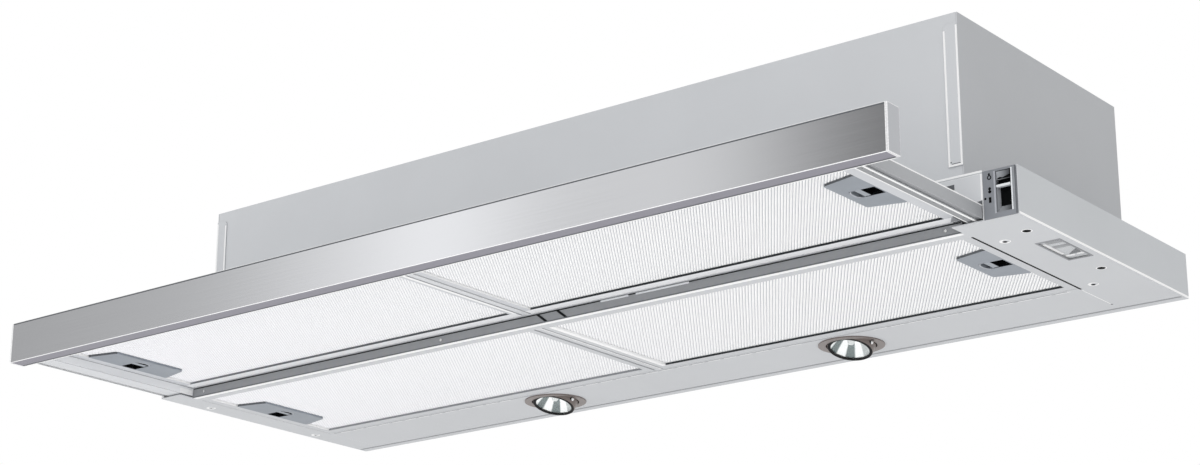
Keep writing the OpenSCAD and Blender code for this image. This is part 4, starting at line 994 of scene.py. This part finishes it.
def frameTrim(row, side, node):
    # folds and seams under a frame; the pale and white folds are painted highlights
    low, high = extent(node)
    under = ("down", (0, 0, low[2]), bodyOf[node], "filter")
    if row == "front":
        near, far = frameLook["rearFold"]
        fold = patchBelow(low[0] + frameLook["end"], high[1] - far, high[0] - frameLook["end"], high[1] - near)
        addTrim(node + "_fold", [fold], *under, "pale")
    if (row, side) in (("rear", "right"), ("front", "left")):
        # bold white fold, a painted highlight: beside the mesh at the rear, beside the drawer's divider at the
        # front
        x0, x1 = ([low[0] + v for v in frameLook["rearWhite"]] if row == "rear" else
                  [high[0] - v for v in frameLook["frontWhite"]])
        white = patchBelow(x0, low[1] + frameLook["whiteFrom"], x1, high[1] - frameLook["whiteTo"], 0.14,
                           frameLook["whiteSink"][row])
        addTrim(node + "_white_fold", [white], *under, "edge")
    if (row, side) == ("front", "right"):
        corner = slab([(high[0] - x, -high[1] + y) for x, y in frameLook["corner"]], -0.05, 0.16)
        addTrim(node + "_corner", [corner], *under, "line")
    seamX = low[0] + frameLook["seamInset"] if side == "right" else high[0] - frameLook["seamInset"]
    seam = patchBelow(seamX - frameLook["seamHalf"], low[1] + frameLook["end"], seamX + frameLook["seamHalf"],
                      high[1] - frameLook["end"], 0.1)
    addTrim(node + "_seam", [seam], *under, "line")


def handleRim(side, node):
    # bright rim round the inner end of the finger hole, a painted highlight: half an ellipse
    sign = 1 if side == "right" else -1
    low, high = extent(node)
    outer, middle = high[0] if side == "right" else low[0], (low[1] + high[1]) / 2
    away, deep, half = handleLook["rim"]
    t = np.linspace(*handleLook["rimArc"], handleLook["rimSteps"]) * math.pi
    path = np.stack([outer - sign * (away + deep * np.sin(t)), middle + sign * half * np.cos(t),
                     np.full(len(t), low[2])], axis=1)
    rim = swept(path, strip(*handleLook["rimSection"]), (0, 0, -1))
    addPiece(node + "_rim", rim, bodyOf[node], "fold", 50)


for row in rows:
    for side in sides:
        frameNode, meshNode, handleNode, latchNode = (
            row + "_filter_" + part + "_" + side for part in ("frame", "mesh", "handle", "latch"))
        filterFrame(row, frameNode)
        filterMesh(row, side, meshNode, handleNode)
        filterHandle(side, handleNode, latchNode)
        frameTrim(row, side, frameNode)
        handleRim(side, handleNode)
print("filters ready")

# controls: a bezel with a slot; the light switch fills the slot's head, and the fan's ridge slides below it

slotBox = {"left": 431.0, "right": 443.5, "foot": -33.2, "top": -2.0}
bezelLook = {"fold": 0.0003, "switchFold": 0.0004, "around": 1, "play": 0.1, "wallFrom": 0.4}
bezelY = extent("control_bezel")[0][1]
onBezel = ("front", (0, bezelY, 0), "hood", "controls")


def bezelFace(centre, normal):
    # the slot's walls: 2 is the left one, in a lighter grey, 1 the others, near black as painted shade
    within = slotBox["left"] - bezelLook["around"] < centre.x < slotBox["right"] + bezelLook["around"]
    within = within and slotBox["foot"] - bezelLook["play"] < centre.z < slotBox["top"] + bezelLook["play"]
    if within and centre.y > bezelY + bezelLook["wallFrom"]:
        return 2 if normal.x > 0.5 else 1
    return 0


eased("control_bezel", bezelLook["fold"], ("control", "well", "pad"), "control", paintFaces=bezelFace)
# the light switch in paint that darkens to the right, painted shade, and its underside black, painted shade
eased("light_switch", bezelLook["switchFold"], ("rocker", "print"), "rocker", 3, paintFaces=lowerFace)

# the fan's slot is a dish: walls slope in from its rim to a dark floor, painted shade, and the ridge slides in
# front of it; the dish is darker to the right, painted shade
dishLook = {"rimY": -97.4, "floorY": -94.0, "backY": -93.8, "left": 1.2, "foot": 5.4, "right": 0.2, "head": 0.3,
            "top": -12.2, "play": 0.05, "floorInset": 0.1, "floorRise": 0.06}
play, inset = dishLook["play"], dishLook["floorInset"]
rim = oblong(slotBox["left"] + play, slotBox["foot"] + play, slotBox["right"] - play, dishLook["top"])
base = oblong(slotBox["left"] + dishLook["left"], slotBox["foot"] + dishLook["foot"],
              slotBox["right"] - dishLook["right"], dishLook["top"] - dishLook["head"])
rings = ((rim, dishLook["backY"]), (rim, dishLook["rimY"]), (base, dishLook["floorY"]))
points = np.concatenate([np.column_stack([ring[:, 0], np.full(4, y), ring[:, 1]]) for ring, y in rings])
faces = gridFaces(3, 4, closeAlong=True)[:, ::-1].tolist() + [[8, 9, 10, 11], [3, 2, 1, 0]]
addPiece("fan_dish", (points, faces), "hood", "rocker")
floorOutline = base + inset * np.array([(1, 1), (-1, 1), (-1, -1), (1, -1)])
addTrim("fan_dish_floor", [slab(floorOutline, 0, dishLook["floorRise"])], "front", (0, dishLook["floorY"], 0),
        "hood", "controls", "print")

# the ridge: a pale lip, its paleness a painted highlight, over a grey foot that falls back; sections in height
# below zero and distance to the front
ridgeLook = {"end": 0.4, "foot": [(14.0, 97.5), (14.9, 97.5), (14.8, 97.8), (14.1, 98.5)],
             "lip": [(12.3, 97.55), (14.2, 97.55), (14.15, 98.6), (13.7, 99.0), (13.2, 99.15), (12.7, 99.05),
                     (12.35, 98.7)]}
across = [(slotBox["left"] + ridgeLook["end"], 0, 0), (slotBox["right"] - ridgeLook["end"], 0, 0)]
ridge = addPiece("fan_ridge", swept(across, ridgeLook["lip"], (0, -1, 0)), "fan_switch", "ridge", 35)
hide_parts("fan_switch")
addPiece("fan_ridge_foot", swept(across, ridgeLook["foot"], (0, -1, 0)), "fan_switch", "pad")

# the light switch: painted shadow, a dark end on its right and a dark wedge along its foot
lightLook = {"end": (1.0, -8.6, 0.1, -2.6),
             "wedge": [(431.6, -8.4), (443.2, -8.4), (443.2, -5.8), (436.9, -7.7), (434.3, -7.0)]}
endLeft, endFoot, endRight, endTop = lightLook["end"]
shadows = [patch(slotBox["right"] - endLeft, endFoot, slotBox["right"] - endRight, endTop, 0.1, -0.1),
           slab(lightLook["wedge"], -0.1, 0.1)]
addTrim("light_switch_shadow", shadows, "front", (0, extent("light_switch")[0][1], 0), "light_switch", "controls",
        "print")

# folds beside the slot: painted highlights, a fine bright one on the left and a broad pale one on the right, and a
# dark one in the shade paint at the end
for name, box, finish in (("slot_fold_left", (429.7, -33.8, 431.1, -1.6), "fold"),
                          ("slot_fold_right", (443.7, -33.6, 444.8, -1.4), "ridge"),
                          ("slot_band_right", (444.8, -33.8, 446.8, -1.2), "pad"),
                          ("bezel_fold", (446.9, -36.8, 447.7, -0.6), "shade")):
    addTrim(name, [patch(*box, 0.16, ease=0.05)], *onBezel, finish)

# printed marks: a ring with a dot for the light, two dots for the fan, a bar, and a dot at the side. Each dot is
# its height and its radius, and the bar its height, half its width and height, and its corner.
markLook = {"across": 426.2, "ring": -5.8, "inner": 1.0, "outer": 1.75, "rise": 0.12,
            "dots": ((-3.3, 0.85), (-14.4, 1.15), (-16.7, 1.25)), "bar": (-23.0, 1.0, 2.1, 0.3),
            "side": (422.3, -21.4, 0.9)}
markX, rise, inner, outer = (markLook[key] for key in ("across", "rise", "inner", "outer"))
ringSection = [(inner, 0), (outer, 0), (outer, rise), (inner, rise)]
marks = [lathe(ringSection, (markX, markLook["ring"], 0), 28, True)]
marks += [spot(markX, height, radius, 16, rise, 0) for height, radius in markLook["dots"]]
barZ, halfWide, halfHigh, corner = markLook["bar"]
marks.append(patch(markX - halfWide, barZ - halfHigh, markX + halfWide, barZ + halfHigh, rise, 0, corner))
marks.append(spot(*markLook["side"], 16, rise, 0))
addTrim("switch_marks", marks, *onBezel, "print")
print("controls ready")

# lamps: heights are from the lamp's pivot, "pivot" above the underside

lampLook = {"lean": math.radians(16), "pivot": 4.5, "trimFold": 0.0007, "headFold": 0.0005, "mouth": -9.87,
            "bowlInset": 2.2, "bowlRadius": 18.0, "bowlDepth": 15.0, "open": 0.92, "facets": 13, "rings": 12,
            "bowlWall": 0.0006, "shades": (0.66, 0.8, 2.7, 0.6), "headFacing": -0.6,
            "seal": [(16.7, -9.85), (19.2, -9.85), (19.4, -9.3), (19.0, -8.5), (17.3, -8.5), (16.7, -9.2)],
            "capsule": [(0, -5.0), (2.4, -4.2), (3.3, -2.2), (3.2, 0.2), (2.2, 2.0), (0, 2.5)]}
pinLook = {"place": (20.75, -0.5, -1.45), "right": (0.048, 0.9988, 0), "up": (0.289, -0.0139, 0.957),
           "radius": 1.7, "height": 1.1, "sink": -0.3, "recess": (-1.1, 1.0, 2.5),
           "notch": (24.1, 5.4, 1.6), "notchDepth": 1.0}


def leaned(shape, place):
    # a shape drawn on the head's own axis, leaned forward about the pivot and set at the lamp
    points, faces = shape
    x, y, z = np.asarray(points, dtype=float).T
    c, s = math.cos(lampLook["lean"]), math.sin(lampLook["lean"])
    return np.stack([x, y * c + z * s, z * c - y * s], axis=1) + place, faces


def facetedBowl():
    # a bowl of flat facets: its radius is 18 root(1 - 0.92 t) at height 15 t, over cos(angle from the facet's
    # middle) to make each ring a polygon, and t runs from the mouth to the neck. A facet's painted reflection is
    # middle + swing sin(number of the facet * step + start), kept between 0 and 1: how light or dark it is.
    turns = lampLook["facets"] * 6
    angle = np.arange(turns) / turns * 2 * math.pi
    width = 2 * math.pi / lampLook["facets"]
    flat = math.cos(width / 2) / np.cos(angle % width - width / 2)
    t = np.linspace(0, 1, lampLook["rings"])
    radius = lampLook["bowlRadius"] * np.sqrt(1 - lampLook["open"] * t) * flat[:, None]
    height = np.broadcast_to(lampLook["mouth"] + lampLook["bowlInset"] + lampLook["bowlDepth"] * t, radius.shape)
    points = np.stack([radius * np.cos(angle)[:, None], radius * np.sin(angle)[:, None], height], axis=-1)
    faces = gridFaces(turns, lampLook["rings"], True)[:, ::-1]
    middle, swing, step, start = lampLook["shades"]
    shade = np.clip(middle + swing * np.sin(np.floor(angle / width + 0.001) * step + start), 0, 1)
    return (points.reshape(-1, 3), faces), np.repeat(shade, lampLook["rings"])


def lampPieces(side):
    # fixed trim and swivelling head, their rounded edges black as painted shadow, with the bowl, seal, bulb and
    # glass, and the pin that it turns on
    trimLow, trimHigh = extent("lamp_trim_" + side)
    place = np.array([(trimLow[0] + trimHigh[0]) / 2, (trimLow[1] + trimHigh[1]) / 2, floorZ + lampLook["pivot"]])
    axis = Vector((0, math.sin(lampLook["lean"]), math.cos(lampLook["lean"])))
    body = "lamp_" + side

    def headFace(centre, normal):
        return 1 if normal.dot(axis) < lampLook["headFacing"] else 0

    eased("lamp_trim_" + side, lampLook["trimFold"], "bronze", "rim")
    eased("lamp_head_" + side, lampLook["headFold"], ("bronze", "rim"), "rim", paintFaces=headFace)
    dress("lamp_lens_" + side, "lens")
    shape, shade = facetedBowl()
    bowl = addPiece("lamp_bowl_" + side, leaned(shape, place), body, "mirror",
                    values={"facet": shade})
    wall = bowl.modifiers.new("wall", "SOLIDIFY")
    wall.thickness, wall.offset = lampLook["bowlWall"], -1.0
    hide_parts("lamp_reflector_" + side)
    seal = lathe(lampLook["seal"], (0, 0, 0), 56, True)
    addPiece("lamp_seal_" + side, leaned(seal, place), body, "rim", 50)
    capsule = lathe(lampLook["capsule"], (0, 0, 0), 24)
    addPiece("lamp_capsule_" + side, leaned(capsule, place), body, "edge", 60, True)
    # bright pivot pin, a painted highlight, in a dark recess on the head's side, painted shadow, and the dark
    # notch in the trim beside it, painted shadow of the gap
    aside, ahead, below = pinLook["place"]
    headSide = ((place[0] + aside, place[1] + ahead, floorZ + below), pinLook["right"], pinLook["up"])
    pin = screwHead(0, 0, pinLook["sink"], pinLook["radius"], pinLook["height"], False)
    addPiece("lamp_pin_" + side, laid(pin, *headSide), body, "edge", 40, True)
    recess = spot(*pinLook["recess"], 20, 0.15, -0.4)
    addPiece("lamp_pin_recess_" + side, laid(recess, *headSide), body, "print")
    notchX, notchY, radius = pinLook["notch"]
    addTrim("lamp_notch_" + side, [spot(place[0] + notchX, notchY - place[1], radius, 20, 0.12, -0.3)], "down",
            (0, 0, floorZ - pinLook["notchDepth"]), "hood", "lamp_metal", "print")


for side in sides:
    lampPieces(side)
print("lamps ready")

# blower, duct and electrics

ductLook = {"fold": 0.0005}
eased("duct_collar", ductLook["fold"], "black", "black")
collarLow, collarHigh = extent("duct_collar")
for node, finish in (("check_flap_front", "black"), ("check_flap_rear", "black"), ("blower_housing", "blower"),
                     ("fan_wheel", "black"), ("fan_motor", "motor"), ("terminal_box", "black"),
                     ("cable_gland", "black"), ("lamp_transformer", "black")):
    dress(node, finish)

# pan head screws on the casing's top and back, where the side plates and the blower are fixed
panLook = {"radius": 3.4, "height": 1.1, "recess": (2.0, 0.4), "recessFrom": 1.02, "recessTo": 1.16, "inset": 9,
           "endInset": 30, "ring": 78, "ringAngles": (45, 135, 225, 315), "backHeights": (20, 68, 116)}


def panScrews(name, facing, place, spots):
    # pan heads on a face that looks one way, each with a crossed recess drawn as two dark bars, painted shade
    heads = [screwHead(x, y, 0, panLook["radius"], panLook["height"], False) for x, y in spots]
    addPiece(name + "s", laid(together(*heads), place, *outward[facing]), "hood", "screw", 40, True)
    long, short = panLook["recess"]
    crosses = [patch(x - w, y - h, x + w, y + h, panLook["recessTo"], panLook["recessFrom"])
               for x, y in spots for w, h in ((long, short), (short, long))]
    addTrim(name + "_recesses", crosses, facing, place, "hood", "fixings", "print")


screwX = casingHigh[0] - panLook["inset"]
rowY = np.linspace(casingLow[1] + panLook["endInset"], casingHigh[1] - panLook["endInset"], 3)
collarY = (collarLow[1] + collarHigh[1]) / 2
topSpots = [(x, y) for x in (-screwX, screwX) for y in rowY]
topSpots += [(panLook["ring"] * math.cos(a), collarY + panLook["ring"] * math.sin(a))
             for a in np.radians(panLook["ringAngles"])]
panScrews("casing_top_screw", "up", (0, 0, casingHigh[2]), topSpots)
panScrews("casing_back_screw", "back", (0, casingHigh[1], 0),
          [(x, z) for x in (screwX, -screwX) for z in panLook["backHeights"]])

# spot welds along the casing's foot at the back: shallow round dimples
weldLook = {"radius": 2.6, "height": 0.15, "crown": 0.8, "dip": (1.2, 0.05), "spacing": 74.0, "count": 11,
            "above": 8.5}
radius, (dipRadius, dipHeight) = weldLook["radius"], weldLook["dip"]
section = [(0, 0), (radius, 0), (radius * weldLook["crown"], weldLook["height"]), (dipRadius, dipHeight),
           (0, dipHeight)]
weldX = (np.arange(weldLook["count"]) - weldLook["count"] // 2) * weldLook["spacing"]
welds = [lathe(section, (-x, weldLook["above"], 0), 20) for x in weldX]
addPiece("casing_back_welds", laid(together(*welds), (0, casingHigh[1], 0), *outward["back"]), "hood",
         "casing", 40, True)
print("blower and electrics ready")


# camera, light and backdrop

cameraLook = {"place": (1.25533, -1.61763, -0.59611), "right": (0.78791, 0.61579, 0.001014),
              "up": (0.187535, -0.24152, 0.952102), "toward": (-0.58654, 0.749981, 0.305778),
              "focal": 2488.912, "width": 1200.0, "sensor": 36.0}
lens = bpy.data.cameras.new("camera")
lens.sensor_width = cameraLook["sensor"]
lens.lens = cameraLook["focal"] / cameraLook["width"] * lens.sensor_width
camera = bpy.data.objects.new("camera", lens)
bpy.context.scene.collection.objects.link(camera)
axesOf = np.array([cameraLook["right"], cameraLook["up"], [-v for v in cameraLook["toward"]]]).T
turned = Matrix(axesOf.tolist()).to_4x4()
turned.translation = Vector(cameraLook["place"])
camera.matrix_world = turned
bpy.context.scene.camera = camera

lampsLook = [  # name, place, aim, width, height, power
    ("softFront", (0.9, -2.6, -0.9), (0.0, 0.0, 0.0), 2.2, 1.4, 5.0),
    ("softUnder", (0.0, -0.4, -1.1), (0.0, 0.05, 0.0), 2.4, 1.6, 10.0),
    ("softTop", (-0.6, -0.8, 2.4), (0.0, 0.0, 0.0), 2.0, 2.0, 7.0),
]
for name, place, aim, width, height, power in lampsLook:
    light = bpy.data.lights.new(name, "AREA")
    light.shape = "RECTANGLE"
    light.size, light.size_y, light.energy = width, height, power
    lamp = bpy.data.objects.new(name, light)
    bpy.context.scene.collection.objects.link(lamp)
    toward = (Vector(place) - Vector(aim)).to_track_quat("Z", "Y").to_matrix().to_4x4()
    lamp.matrix_world = Matrix.Translation(place) @ toward

# the room: white where it is seen, an even light, and for gloss a bright wall to the left with dimmer ends
roomLook = {"seen": 1.0, "light": 0.92, "gloss": 1.3,
            "wall": [(-180, 0.82), (16, 0.82), (23, 0.40), (27, 0.15), (30.5, 0.15), (32, 0.27), (33, 0.42),
                     (34.5, 0.74), (36, 0.90), (37.5, 0.76), (39, 0.69), (40.2, 0.82), (41.0, 1.10), (41.7, 1.30),
                     (42.3, 1.26), (42.8, 0.96), (44.6, 0.89), (46, 0.68), (47.5, 0.50), (50, 0.52), (52.5, 0.43),
                     (57, 0.44), (68, 0.82), (180, 0.82)]}  # angle and brightness
world = bpy.data.worlds.new("paleRoom")
bpy.context.scene.world = world
world.use_nodes = True
world.node_tree.nodes.clear()
room = Shading(world.node_tree)
toward = room.node("ShaderNodeTexCoord", output="Generated")
x, y, z = room.parts(toward)
turn = (x * -1.0).maths("ARCTAN2", y * -1.0) * (0.5 / math.pi) + 0.5
stops = [((angle + 180) / 360, shade / roomLook["gloss"]) for angle, shade in roomLook["wall"]]
wall = room.node("ShaderNodeValToRGB", {"stops": stops}, {0: turn})
rays = {name: room.node("ShaderNodeLightPath", output=name) for name in
        ("Is Camera Ray", "Is Transmission Ray", "Is Glossy Ray")}
shown = rays["Is Camera Ray"].maths("MAXIMUM", rays["Is Transmission Ray"])
strength = roomLook["light"] + rays["Is Glossy Ray"] * (wall * roomLook["gloss"] - roomLook["light"])
strength = strength + shown * (roomLook["seen"] - strength)
backdrop = room.node("ShaderNodeBackground", inputs={0: (1, 1, 1, 1), 1: strength})
room.node("ShaderNodeOutputWorld", inputs={0: backdrop})

floorLook = {"height": -1.15, "half": 6.0}
half = floorLook["half"]
floorMesh = bpy.data.meshes.new("floor")
floorCorners = ((-half, -half), (half, -half), (half, half), (-half, half))
floorMesh.from_pydata([(x, y, floorLook["height"]) for x, y in floorCorners], [], [(0, 1, 2, 3)])
floor = bpy.data.objects.new("floor", floorMesh)
bpy.context.scene.collection.objects.link(floor)
finishes["floor"] = paint("paleFloor", screen(236, 236, 236), 0.7)
floorMesh.materials.append(finishes["floor"].material)

bpy.context.scene.view_settings.view_transform = "Standard"
print("camera, light and floor ready")
